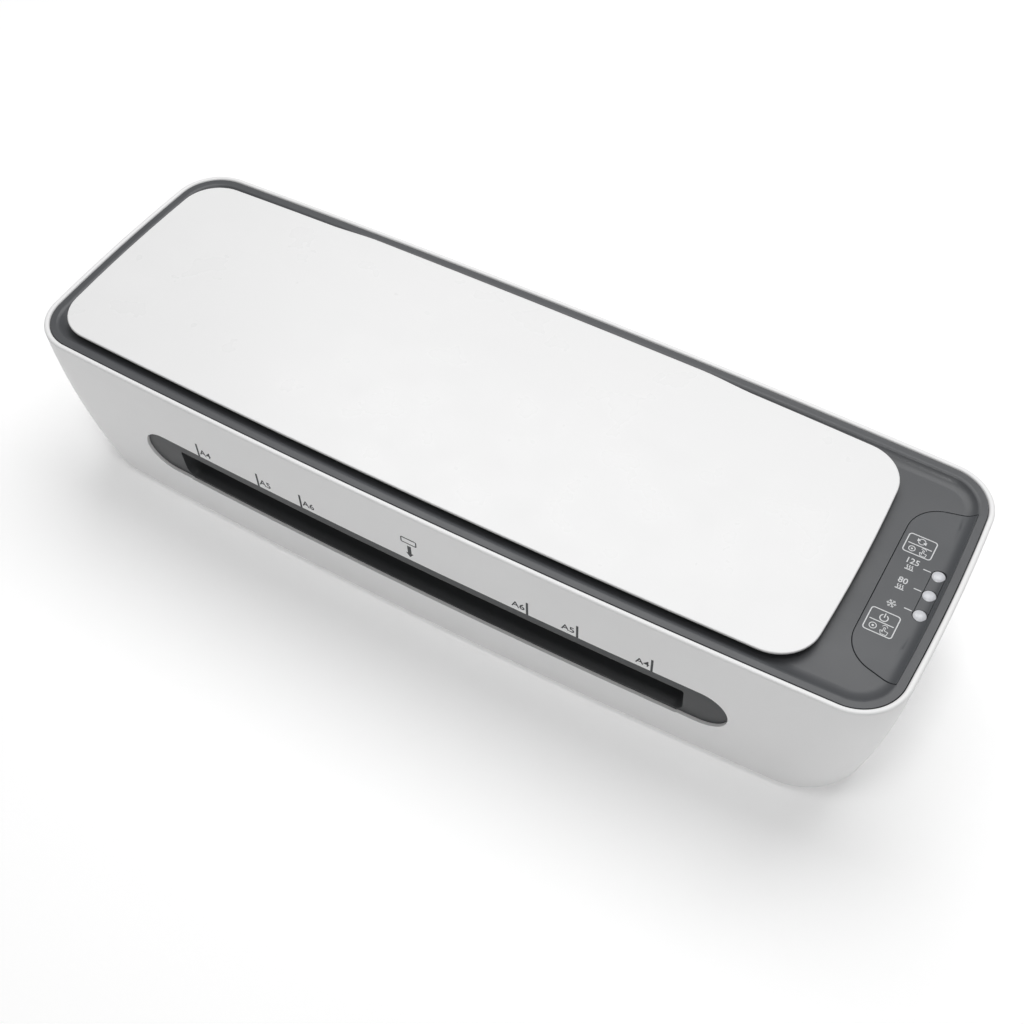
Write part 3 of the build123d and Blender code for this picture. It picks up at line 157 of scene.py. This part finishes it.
def add_mesh(name, shape, material):
    """Object of one material, made from a finished shape."""
    mesh = bpy.data.meshes.new(name)
    shape.to_mesh(mesh)
    shape.free()
    mesh.materials.append(material)
    piece = bpy.data.objects.new(name, mesh)
    bpy.context.scene.collection.objects.link(piece)
    return piece


def make_floor():
    """Round pale floor under the object, glowing a little like a light table."""
    shape = bmesh.new()
    bmesh.ops.create_circle(shape, cap_ends=True, segments=96, radius=floor_radius)
    paint, _, shader = new_material("floor_paint")
    shader.inputs["Base Color"].default_value = (floor_shade, floor_shade, floor_shade, 1)
    shader.inputs["Roughness"].default_value = 0.9
    shader.inputs["Specular IOR Level"].default_value = 0.1
    shader.inputs["Emission Color"].default_value = (1, 1, 1, 1)
    shader.inputs["Emission Strength"].default_value = floor_glow
    add_mesh("floor", shape, paint)


# --- material building blocks -----------------------------------------------------------------------------


def new_material(name):
    """Empty principled material with its tree and shader."""
    material = bpy.data.materials.new(name)
    material.use_nodes = True
    tree = material.node_tree
    return material, tree, tree.nodes["Principled BSDF"]


def noise(tree, size, detail=3.0, stretch=(1, 1, 1), distortion=0.0):
    """Noise with features of about this size in metres, drawn out along an axis by stretch."""
    place = tree.nodes.new("ShaderNodeTexCoord")
    scale = tree.nodes.new("ShaderNodeMapping")
    scale.inputs["Scale"].default_value = [1 / factor for factor in stretch]
    texture = tree.nodes.new("ShaderNodeTexNoise")
    texture.inputs["Scale"].default_value = 1 / size
    texture.inputs["Detail"].default_value = detail
    texture.inputs["Distortion"].default_value = distortion
    tree.links.new(place.outputs["Object"], scale.inputs["Vector"])
    tree.links.new(scale.outputs["Vector"], texture.inputs["Vector"])
    return texture.outputs["Fac"]


def ramp(tree, source, start, end, low_value, high_value):
    """Source between start and end, turned into a value between the two others."""
    node = tree.nodes.new("ShaderNodeMapRange")
    node.inputs["From Min"].default_value = start
    node.inputs["From Max"].default_value = end
    node.inputs["To Min"].default_value = low_value
    node.inputs["To Max"].default_value = high_value
    tree.links.new(source, node.inputs["Value"])
    return node.outputs["Result"]


def spread(tree, source, low_value, high_value):
    """Noise, which mostly lies between 0.3 and 0.7, turned into a value between the two others."""
    return ramp(tree, source, 0.3, 0.7, low_value, high_value)


def maths(tree, operation, first, second):
    """Arithmetic on two sockets or numbers."""
    node = tree.nodes.new("ShaderNodeMath")
    node.operation = operation
    for socket, value in zip(node.inputs, (first, second)):
        if isinstance(value, (int, float)):
            socket.default_value = value
        else:
            tree.links.new(value, socket)
    return node.outputs["Value"]


def mix_colours(tree, factor, first, second):
    """Mixed colour; each of the two is a socket or three numbers."""
    node = tree.nodes.new("ShaderNodeMix")
    node.data_type = "RGBA"
    tree.links.new(factor, node.inputs["Factor"])
    for socket, value in ((node.inputs["A"], first), (node.inputs["B"], second)):
        if isinstance(value, (tuple, list)):
            socket.default_value = (*value, 1)
        else:
            tree.links.new(value, socket)
    return node.outputs["Result"]


def shade(colour, factor):
    """Colour made lighter or darker."""
    return tuple(min(channel * factor, 1.0) for channel in colour)


def dress(tree, shader, colour, roughness, normal):
    """Link the three sockets that every finish varies over its surface."""
    tree.links.new(colour, shader.inputs["Base Color"])
    tree.links.new(roughness, shader.inputs["Roughness"])
    tree.links.new(normal, shader.inputs["Normal"])


def rounded_normal(tree, radius):
    """Normal that softens sharp edges by a small radius."""
    bevel = tree.nodes.new("ShaderNodeBevel")
    bevel.samples = 4
    bevel.inputs["Radius"].default_value = radius
    return bevel.outputs["Normal"]


def edge_mask(tree, radius):
    """One where an edge is, and zero on open faces."""
    rounded = rounded_normal(tree, radius)
    geometry = tree.nodes.new("ShaderNodeNewGeometry")
    dot = tree.nodes.new("ShaderNodeVectorMath")
    dot.operation = "DOT_PRODUCT"
    tree.links.new(rounded, dot.inputs[0])
    tree.links.new(geometry.outputs["Normal"], dot.inputs[1])
    flat = 0.995
    sharp = 0.85
    return ramp(tree, dot.outputs["Value"], flat, sharp, 0.0, 1.0)


def crevices(tree, reach):
    """One in corners and under overhangs within this reach in metres, and zero in the open; it marks where
    shade is painted.
    """
    shelter = tree.nodes.new("ShaderNodeAmbientOcclusion")
    shelter.samples = 6
    shelter.inputs["Distance"].default_value = reach
    open_face = 0.85
    corner = 0.35
    return ramp(tree, shelter.outputs["AO"], open_face, corner, 0.0, 1.0)


def bump(tree, height, depth, normal=None):
    """Relief of this depth in metres, from a height between zero and one."""
    node = tree.nodes.new("ShaderNodeBump")
    node.inputs["Strength"].default_value = 1.0
    node.inputs["Distance"].default_value = depth
    tree.links.new(height, node.inputs["Height"])
    if normal is not None:
        tree.links.new(normal, node.inputs["Normal"])
    return node.outputs["Normal"]


# --- materials --------------------------------------------------------------------------------------------

softened_edge = 0.25 * MM


def plastic(
    name,
    roughness,
    grain=0.4,
    depth=0.01,
    mottle=0.03,
    wear=0.0,
    waviness=0.0,
    shine=0.5,
    painted_shade_reach=0.0,
    tone=1.0,
):
    """Moulded plastic: fine grain, faint flow marks in colour and gloss, and edges rubbed a little lighter.

    Grain, depth, waviness and the reach of painted shade are in millimetres. Grain is the size of the
    texture and depth is its relief. Waviness is the height of slow waves, and the shade reach is how far
    painted shade, the colour darkened to a fifth, reaches out of corners and from under overhangs.
    Mottle, wear and shine are strengths, and tone makes the colour darker or lighter.
    """
    colour = shade(finishes[name], tone)
    material, tree, shader = new_material(name)
    shader.inputs["Specular IOR Level"].default_value = shine
    flow = spread(tree, noise(tree, 45 * MM, 4, (2.2, 1, 1), 0.6), 0.0, 1.0)
    base = mix_colours(tree, flow, shade(colour, 1 - mottle), shade(colour, 1 + mottle))
    if wear:
        rubbed = noise(tree, 6 * MM, 5)
        patchy = ramp(tree, rubbed, 0.35, 0.65, 0.2, wear)
        mask = maths(tree, "MULTIPLY", edge_mask(tree, 0.5 * MM), patchy)
        base = mix_colours(tree, mask, base, shade(colour, 2.2))
    # Painted shade: in corners, recesses and under overhangs the colour is darkened to a fifth, standing in
    # for the shade that falls there.
    if painted_shade_reach:
        base = mix_colours(tree, crevices(tree, painted_shade_reach * MM), base, shade(colour, 0.2))
    gloss = spread(tree, noise(tree, 18 * MM, 3), roughness - 0.04, roughness + 0.05)
    normal = rounded_normal(tree, softened_edge)
    if waviness:
        normal = bump(tree, noise(tree, 60 * MM, 1.5), waviness * MM, normal)
    dress(tree, shader, base, gloss, bump(tree, noise(tree, grain * MM, 2), depth * MM, normal))
    return material


def metal(name, roughness, lines, stretch, depth=0.004, stain=0.08):
    """Bare metal with drawn or turned lines and faint stains."""
    colour = tuple(finishes[name])
    material, tree, shader = new_material(name)
    shader.inputs["Metallic"].default_value = 1.0
    stains = spread(tree, noise(tree, 14 * MM, 4), 0.0, 1.0)
    base = mix_colours(tree, stains, shade(colour, 1 - stain), shade(colour, 1 + stain))
    grain = noise(tree, lines * MM, 3, stretch)
    gloss = spread(tree, grain, roughness - 0.08, roughness + 0.1)
    dress(tree, shader, base, gloss, bump(tree, grain, depth * MM, rounded_normal(tree, 0.15 * MM)))
    return material


def milky_lens(name):
    """Diffusing acrylic that lets light a little way in."""
    colour = tuple(finishes[name])
    material, tree, shader = new_material(name)
    cloud = spread(tree, noise(tree, 2.2 * MM, 4), 0.0, 1.0)
    base = mix_colours(tree, cloud, shade(colour, 0.95), shade(colour, 1.04))
    shader.inputs["Subsurface Weight"].default_value = 0.35
    shader.inputs["Subsurface Radius"].default_value = (0.9, 0.95, 1.0)
    shader.inputs["Subsurface Scale"].default_value = 1.2 * MM
    shader.inputs["Coat Weight"].default_value = 0.25
    gloss = spread(tree, noise(tree, 1.5 * MM), 0.22, 0.34)
    dress(tree, shader, base, gloss, bump(tree, noise(tree, 0.5 * MM, 2), 0.004 * MM))
    return material


def circuit_board(name):
    """Solder mask over faint tracks, on glass cloth."""
    colour = tuple(finishes[name])
    material, tree, shader = new_material(name)
    place = tree.nodes.new("ShaderNodeTexCoord")
    tracks = tree.nodes.new("ShaderNodeTexVoronoi")
    tracks.distance = "CHEBYCHEV"
    tracks.feature = "F1"
    tracks.inputs["Scale"].default_value = 1 / (4.5 * MM)
    tree.links.new(place.outputs["Object"], tracks.inputs["Vector"])
    copper = ramp(tree, tracks.outputs["Distance"], 0.30, 0.34, 0.0, 1.0)
    cloth = noise(tree, 0.5 * MM, 2)
    mask = mix_colours(tree, spread(tree, cloth, 0, 1), shade(colour, 0.8), shade(colour, 1.1))
    base = mix_colours(tree, copper, mask, shade(colour, 1.7))
    dress(tree, shader, base, spread(tree, cloth, 0.3, 0.42), bump(tree, copper, 0.03 * MM))
    return material


def mica(name):
    """Mica sheet with a heating band wound round it."""
    band_metal = (0.42, 0.41, 0.40)
    colour = tuple(finishes[name])
    material, tree, shader = new_material(name)
    place = tree.nodes.new("ShaderNodeTexCoord")
    winding = tree.nodes.new("ShaderNodeTexWave")
    winding.bands_direction = "X"
    winding.wave_profile = "SAW"
    winding.inputs["Scale"].default_value = 1 / (22 * MM)
    winding.inputs["Distortion"].default_value = 0.15
    tree.links.new(place.outputs["Object"], winding.inputs["Vector"])
    band = ramp(tree, winding.outputs["Fac"], 0.55, 0.6, 0.0, 1.0)
    flakes = spread(tree, noise(tree, 5 * MM, 5, (1, 2, 1), 1.2), 0.0, 1.0)
    sheet = mix_colours(tree, flakes, shade(colour, 0.7), shade(colour, 1.25))
    tree.links.new(band, shader.inputs["Metallic"])
    base = mix_colours(tree, band, sheet, band_metal)
    relief = bump(tree, band, 0.08 * MM, rounded_normal(tree, 0.1 * MM))
    dress(tree, shader, base, ramp(tree, flakes, 0, 1, 0.3, 0.5), relief)
    return material


def rubber(name, roughness, grind):
    """Rubber with a ground or moulded surface and dusty patches."""
    colour = tuple(finishes[name])
    material, tree, shader = new_material(name)
    dust = ramp(tree, noise(tree, 9 * MM, 5), 0.35, 0.7, 0.0, 1.0)
    base = mix_colours(tree, dust, shade(colour, 0.9), shade(colour, 1.25))
    gloss = ramp(tree, dust, 0, 1, roughness - 0.06, roughness + 0.06)
    shader.inputs["Specular IOR Level"].default_value = 0.35
    relief = bump(tree, noise(tree, 0.35 * MM, 3, grind), 0.015 * MM, rounded_normal(tree, 0.3 * MM))
    dress(tree, shader, base, gloss, relief)
    return material


def ink(name, colour, roughness):
    """Pad-printed ink, slightly uneven."""
    material, tree, shader = new_material(name)
    cover = spread(tree, noise(tree, 0.6 * MM, 3), 0.0, 1.0)
    base = mix_colours(tree, cover, shade(colour, 0.9), shade(colour, 1.08))
    gloss = ramp(tree, cover, 0, 1, roughness - 0.05, roughness + 0.08)
    dress(tree, shader, base, gloss, bump(tree, noise(tree, 0.15 * MM, 2), 0.004 * MM))
    return material


ALONG_X = (12, 1, 1)
ROUND_X = (0.15, 3, 3)
EVEN = (1, 1, 1)

deck_look = dict(roughness=0.35, grain=0.35, depth=0.01, mottle=0.04, wear=0.15, shine=0.4, tone=0.76)

materials = {
    "white_shell": plastic("white_shell", 0.42, grain=0.35, depth=0.006, mottle=0.012),
    "white_cover": plastic("white_cover", 0.3, grain=1.2, depth=0.002, mottle=0.008, waviness=0.03),
    "dark_deck": plastic("dark_deck", **deck_look),
    "dark_key": plastic("dark_key", **deck_look),
    # The bezel carries painted shade within 3 mm of corners and overhangs, such as under the top edge of
    # its window.
    "dark_bezel": plastic(
        "dark_bezel", 0.33, grain=0.5, depth=0.004, mottle=0.04, wear=0.2, painted_shade_reach=3.0, shine=0.25, tone=0.78
    ),
    "base_plastic": plastic("base_plastic", 0.5, grain=0.5, depth=0.012, mottle=0.02),
    "inner_plastic": plastic("inner_plastic", 0.5, grain=0.4, depth=0.015, mottle=0.1, wear=0.4),
    "switch_black": plastic("switch_black", 0.45, grain=0.4, mottle=0.08),
    "led_resin": plastic("led_resin", 0.15, grain=1.0, depth=0.002, mottle=0.03),
    "thermostat_black": plastic("thermostat_black", 0.4, grain=0.3, mottle=0.1, wear=0.5),
    "fuse_white": plastic("fuse_white", 0.2, grain=0.8, depth=0.003),
    "gear_nylon": plastic("gear_nylon", 0.42, grain=0.6, mottle=0.03),
    "bush_acetal": plastic("bush_acetal", 0.38, grain=0.5, mottle=0.08, wear=0.4),
    "capacitor_sleeve": plastic("capacitor_sleeve", 0.22, grain=2.0, depth=0.02),
    "relay_blue": plastic("relay_blue", 0.3, grain=0.5),
    "terminal_green": plastic("terminal_green", 0.38, grain=0.5),
    "black_rubber": rubber("black_rubber", 0.62, EVEN),
    "silicone": rubber("silicone", 0.5, ROUND_X),
    "white_lens": milky_lens("white_lens"),
    "bright_steel": metal("bright_steel", 0.24, 0.25, ROUND_X),
    "spring_steel": metal("spring_steel", 0.3, 0.3, EVEN),
    "zinc_sheet": metal("zinc_sheet", 0.4, 0.8, ALONG_X, stain=0.12),
    "screw_zinc": metal("screw_zinc", 0.32, 0.3, EVEN, stain=0.15),
    "heater_aluminium": metal("heater_aluminium", 0.36, 0.25, ALONG_X),
    "motor_case": metal("motor_case", 0.35, 0.4, EVEN),
    "circuit_board": circuit_board("circuit_board"),
    "mica_element": mica("mica_element"),
}

for entry in record["subparts"]:
    mesh = nodes[entry["node"]].data
    mesh.materials.clear()
    mesh.materials.append(materials[entry["material_slot"]])

print_dark = ink("print_dark", (0.032, 0.034, 0.038), 0.5)
print_light = ink("print_light", (0.68, 0.69, 0.70), 0.5)

# --- flat shapes for printed marks: lists of polygons in millimetres --------------------------------------


def bar(x0, y0, x1, y1, steps=1):
    """Upright rectangle, cut into steps along its height so that it can follow a curved wall."""
    rows = [y0 + (y1 - y0) * step / steps for step in range(steps + 1)]
    return [[(x0, a), (x1, a), (x1, b), (x0, b)] for a, b in zip(rows, rows[1:])]


def stroke(points, width, closed=False):
    """Line of constant width through points, with mitred corners and half-round ends."""
    path = [Vector(point) for point in points]
    count = len(path)
    half = width / 2
    mitre_limit = 0.4
    cap_steps = 6
    sides = []
    for index, point in enumerate(path):
        before = path[index - 1] if index or closed else None
        after = path[(index + 1) % count] if index < count - 1 or closed else None
        into = (point - before).normalized() if before is not None else (after - point).normalized()
        out = (after - point).normalized() if after is not None else into
        normal = Vector((-(into + out).y, (into + out).x)).normalized()
        reach = half / max(normal.dot(Vector((-into.y, into.x))), mitre_limit)
        sides.append((point + normal * reach, point - normal * reach))
    pairs = list(zip(sides, sides[1:]))
    if closed:
        pairs.append((sides[-1], sides[0]))
    polygons = [[a[0], a[1], b[1], b[0]] for a, b in pairs]
    if not closed:
        for end, neighbour in ((path[0], path[1]), (path[-1], path[-2])):
            outward = (end - neighbour).normalized()
            across = Vector((-outward.y, outward.x))
            fan = [pi * step / cap_steps for step in range(cap_steps + 1)]
            polygons.append([end + (across * cos(angle) + outward * sin(angle)) * half for angle in fan])
    return polygons


def arc(centre, radius, start, end, steps=16):
    """Points on an arc between two angles in degrees."""
    angles = [radians(start + (end - start) * step / steps) for step in range(steps + 1)]
    return [(centre[0] + radius * cos(angle), centre[1] + radius * sin(angle)) for angle in angles]


def rounded_box(x0, y0, x1, y1, radius):
    """Points round a rectangle with round corners."""
    corners = (
        ((x1 - radius, y1 - radius), 0),
        ((x0 + radius, y1 - radius), 90),
        ((x0 + radius, y0 + radius), 180),
        ((x1 - radius, y0 + radius), 270),
    )
    return [point for centre, start in corners for point in arc(centre, radius, start, start + 90, 5)]


def lettering(body, height, x, y, anchor="CENTER", weight=0.0):
    """Plain figures from the built-in font, as polygons."""
    curve = bpy.data.curves.new("lettering", "FONT")
    curve.body = body
    curve.size = 1.0
    curve.align_x = anchor
    curve.offset = weight
    curve.resolution_u = 4
    holder = bpy.data.objects.new("lettering", curve)
    bpy.context.scene.collection.objects.link(holder)
    bpy.context.view_layer.update()
    mesh = bpy.data.meshes.new_from_object(holder)
    capital_height = 0.73
    scale = height / capital_height
    polygons = [
        [(x + mesh.vertices[v].co.x * scale, y + mesh.vertices[v].co.y * scale) for v in face.vertices]
        for face in mesh.polygons
    ]
    bpy.data.objects.remove(holder)
    bpy.data.curves.remove(curve)
    bpy.data.meshes.remove(mesh)
    return polygons


def printed(name, polygons, place, body, material):
    """Thin solid layer of ink: each polygon stands proud of a surface and reaches a little way into it."""
    ink_height = 0.04 * MM
    ink_root = 0.06 * MM
    shape = bmesh.new()
    for polygon in polygons:
        top = [shape.verts.new(place(point[0], point[1], ink_height)) for point in polygon]
        bottom = [shape.verts.new(place(point[0], point[1], -ink_root)) for point in polygon]
        shape.faces.new(top)
        shape.faces.new(reversed(bottom))
        for index in range(len(top)):
            following = (index + 1) % len(top)
            shape.faces.new((top[following], top[index], bottom[index], bottom[following]))
    bmesh.ops.recalc_face_normals(shape, faces=shape.faces)
    piece = add_mesh(name, shape, material)
    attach(piece, body)


# --- printed marks on the front wall ----------------------------------------------------------------------


def surface_tree(name):
    """Tree of a piece's faces, for finding points on its surface."""
    mesh = nodes[name].data
    return BVHTree.FromPolygons(
        [vertex.co for vertex in mesh.vertices],
        [tuple(face.vertices) for face in mesh.polygons],
    )


ray_start = 0.1
wall_tree = surface_tree("outer_shell")


def on_front_wall(x, z, lift):
    """Point on the entry wall at a length and a height in millimetres, lifted off the wall in metres."""
    start = Vector((x * MM, low.y - ray_start, z * MM))
    hit, normal = wall_tree.ray_cast(start, Vector((0, 1, 0)))[:2]
    return hit + normal * lift


window_top = 53.7
tick_top = 61.9
tick_width = 0.95
tick_steps = 8
label_base = 55.8
label_height = 3.6
label_weight = 0.012
sheet_widths = {"A4": 210.0, "A5": 148.0, "A6": 105.0}
label_gap = 1.0

marks = []
for label, width in sheet_widths.items():
    for side in (-1, 1):
        x = side * width / 2
        marks += bar(x - tick_width / 2, window_top, x + tick_width / 2, tick_top, tick_steps)
        anchor = "LEFT" if side < 0 else "RIGHT"
        marks += lettering(label, label_height, x - side * label_gap, label_base, anchor, label_weight)
printed("sheet_size_marks", marks, on_front_wall, "housing", print_dark)

arrow_tip = 55.7
arrow_shoulder = 58.3
arrow_top = 63.0
arrow_half_head = 1.7
arrow_half_stem = 0.85
arrow_steps = 4
sheet_half_width = 3.4
sheet_bottom = 64.6
sheet_top = 67.6
sheet_corner = 0.5
sheet_line = 0.55

arrow = bar(-arrow_half_stem, arrow_shoulder, arrow_half_stem, arrow_top, arrow_steps)
arrow += [[(-arrow_half_head, arrow_shoulder), (0, arrow_tip), (arrow_half_head, arrow_shoulder)]]
sheet_outline = rounded_box(-sheet_half_width, sheet_bottom, sheet_half_width, sheet_top, sheet_corner)
sheet_sign = stroke(sheet_outline, sheet_line, closed=True)
printed("entry_arrow", arrow + sheet_sign, on_front_wall, "housing", print_dark)

# --- printed marks on the rocker key ----------------------------------------------------------------------

key_tree = surface_tree("control_key")


def on_key(x, y, lift):
    """Point on the key's top, which is flat and then rises to the lip, lifted off it."""
    start = Vector((x * MM, y * MM, high.z + ray_start))
    hit, normal = key_tree.ray_cast(start, Vector((0, 0, -1)))[:2]
    return hit + normal * lift


line_width = 0.42
fine_width = 0.32
hair_width = fine_width * 0.8


def pointing_hand(x, y, size):
    """Hand with one finger up, and an arc over the fingertip."""
    outline = [
        (-0.30, -0.50),
        (-0.50, -0.10),
        (-0.38, -0.02),
        (-0.20, -0.20),
        (-0.20, 0.42),
        (-0.02, 0.42),
        (-0.02, 0.02),
        (0.40, -0.05),
        (0.34, -0.50),
    ]
    fingertip = (-0.11, 0.45)
    ring = arc(fingertip, 0.3, 15, 165, 8)
    hand = stroke([(x + size * u, y + size * v) for u, v in outline], hair_width, closed=True)
    return hand + stroke([(x + size * u, y + size * v) for u, v in ring], hair_width)


def press_mark(x, y, radius):
    """Dot in a ring: press here."""
    dot_radius = 0.35 * radius
    ring = stroke(arc((x, y), radius, 0, 360, 24)[:-1], fine_width, closed=True)
    return ring + [arc((x, y), dot_radius, 0, 360, 12)[:-1]]


def turning_arrows(x, y, radius):
    """Two arrows that chase each other round a circle: the next mode."""
    sweep_angle = 130
    head_half_width = 0.8
    head_length = 1.3
    polygons = []
    for start in (20, 200):
        sweep = arc((x, y), radius, start, start + sweep_angle)
        polygons += stroke(sweep, fine_width)
        tip = Vector(sweep[-1])
        along = (tip - Vector(sweep[-2])).normalized()
        across = Vector((-along.y, along.x))
        shoulders = [tip + across * head_half_width, tip - across * head_half_width]
        polygons.append(shoulders + [tip + along * head_length])
    return polygons


def power_sign(x, y, radius):
    """Ring with its top left open, and an upright line through the gap."""
    line_bottom = y + 0.2 * radius
    line_top = y + 1.35 * radius
    ring = stroke(arc((x, y), radius, 125, 415), line_width)
    return ring + stroke([(x, line_bottom), (x, line_top)], line_width)


def heat_sign(x, y):
    """Three rising waves over a plate."""
    plate_half = 1.5
    plate_y = y - 1.0
    wave_bottom = y - 0.5
    wave_height = 1.5
    wave_swing = 0.22
    wave_pitch = 0.95
    wave_steps = 8
    polygons = stroke([(x - plate_half, plate_y), (x + plate_half, plate_y)], line_width)
    for column in (-1, 0, 1):
        wave = []
        for step in range(wave_steps + 1):
            share = step / wave_steps
            swing = wave_swing * sin(tau * share)
            wave.append((x + column * wave_pitch + swing, wave_bottom + wave_height * share))
        polygons += stroke(wave, fine_width)
    return polygons


def snowflake(x, y, radius):
    """Six arms with short branches."""
    branch_start = 0.6
    branch_length = 0.35
    branch_angle = 0.8
    polygons = []
    for arm in range(6):
        angle = tau * arm / 6
        direction = Vector((cos(angle), sin(angle)))
        centre = Vector((x, y))
        polygons += stroke([centre, centre + direction * radius], fine_width)
        fork = centre + direction * radius * branch_start
        for turn in (-branch_angle, branch_angle):
            branch = Vector((cos(angle + turn), sin(angle + turn)))
            polygons += stroke([fork, fork + branch * radius * branch_length], hair_width)
    return polygons


def framed(x0, y0, x1, y1):
    """Rounded frame with a line across its middle."""
    corner = 1.1
    inset = 1.0
    middle_y = (y0 + y1) / 2
    frame_line = stroke(rounded_box(x0, y0, x1, y1, corner), line_width, closed=True)
    return frame_line + stroke([(x0 + inset, middle_y), (x1 - inset, middle_y)], line_width)


lens_names = ("rear", "middle", "front")
lens_boxes = [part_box(f"indicator_lens_{name}") for name in lens_names]
lens_ys = [(box[0].y + box[1].y) / 2 / MM for box in lens_boxes]
lens_left = lens_boxes[0][0].x / MM

print_left = 167.5
print_right = 178.4
sign_x = 173.0
press_x = 170.6
hand_x = 175.2
leader_left = 177.8
leader_gap = 0.9
leader_rise = 0.5
figure_height = 2.7
figure_rise = 0.7
figure_weight = 0.01
heat_drop = 1.3

key_print = framed(x0=print_left, y0=15.2, x1=print_right, y1=24.3)
key_print += turning_arrows(sign_x - 0.1, y=22.1, radius=1.35)
key_print += press_mark(press_x, y=17.4, radius=1.2)
key_print += pointing_hand(hand_x, y=17.2, size=3.0)
key_print += framed(x0=print_left, y0=-25.0, x1=print_right, y1=-14.5)
key_print += power_sign(sign_x, y=-17.5, radius=1.5)
key_print += press_mark(press_x, y=-22.4, radius=1.3)
key_print += pointing_hand(hand_x, y=-22.8, size=3.3)
for y, figures in zip(lens_ys, ("125", "80", "")):
    leader_y = y + leader_rise
    key_print += stroke([(leader_left, leader_y), (lens_left - leader_gap, leader_y)], line_width)
    if figures:
        key_print += lettering(figures, figure_height, sign_x, y + figure_rise, weight=figure_weight)
        key_print += heat_sign(sign_x, y - heat_drop)
    else:
        key_print += snowflake(sign_x, y, radius=1.7)
printed("key_print", key_print, on_key, "control_key", print_light)

# --- pressure springs -------------------------------------------------------------------------------------

# The wire, the turns and the lift are those of the CAD pieces and their joint.
spring_wire = 0.8 * MM
spring_turns = 6
steps_per_turn = 28
wire_sides = 10


def coil(name, node):
    """Round wire wound up the height of a CAD spring."""
    bottom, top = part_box(node)
    axis = (bottom + top) / 2
    radius = (top.x - bottom.x - spring_wire) / 2
    start = bottom.z + spring_wire / 2
    rise = (top.z - bottom.z - spring_wire) / spring_turns
    shape = bmesh.new()
    rings = []
    for step in range(spring_turns * steps_per_turn + 1):
        angle = tau * step / steps_per_turn
        outward = Vector((cos(angle), sin(angle), 0))
        along = Vector((-radius * sin(angle), radius * cos(angle), rise / tau)).normalized()
        across = along.cross(outward)
        centre = Vector((axis.x, axis.y, start + rise * step / steps_per_turn)) + outward * radius
        turns = [tau * side / wire_sides for side in range(wire_sides)]
        edge = [outward * cos(turn) + across * sin(turn) for turn in turns]
        rings.append([shape.verts.new(centre + offset * spring_wire / 2) for offset in edge])
    for ring, following in zip(rings, rings[1:]):
        for side in range(wire_sides):
            beside = (side + 1) % wire_sides
            shape.faces.new((ring[side], ring[beside], following[beside], following[side]))
    shape.faces.new(rings[0])
    shape.faces.new(rings[-1])
    bmesh.ops.recalc_face_normals(shape, faces=shape.faces)
    for face in shape.faces:
        face.smooth = len(face.verts) == 4
    return add_mesh(name, shape, materials["spring_steel"])


for side in ("left", "right"):
    node = f"pressure_spring_{side}"
    spring = coil(f"coil_spring_{side}", node)
    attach(spring, "housing")
    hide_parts(node)
    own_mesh(spring)

# --- studio -----------------------------------------------------------------------------------------------

make_world()
make_floor()
make_softbox("overhead_softbox", overhead_place, middle, overhead_power, *overhead_size)
make_softbox("side_softbox", side_place, middle, side_power, side_size, side_size)
make_softbox("front_softbox", front_place, middle, front_power, front_size, front_size)
make_camera()

scene = bpy.context.scene
scene.view_settings.view_transform = "Standard"
scene.view_settings.look = "None"
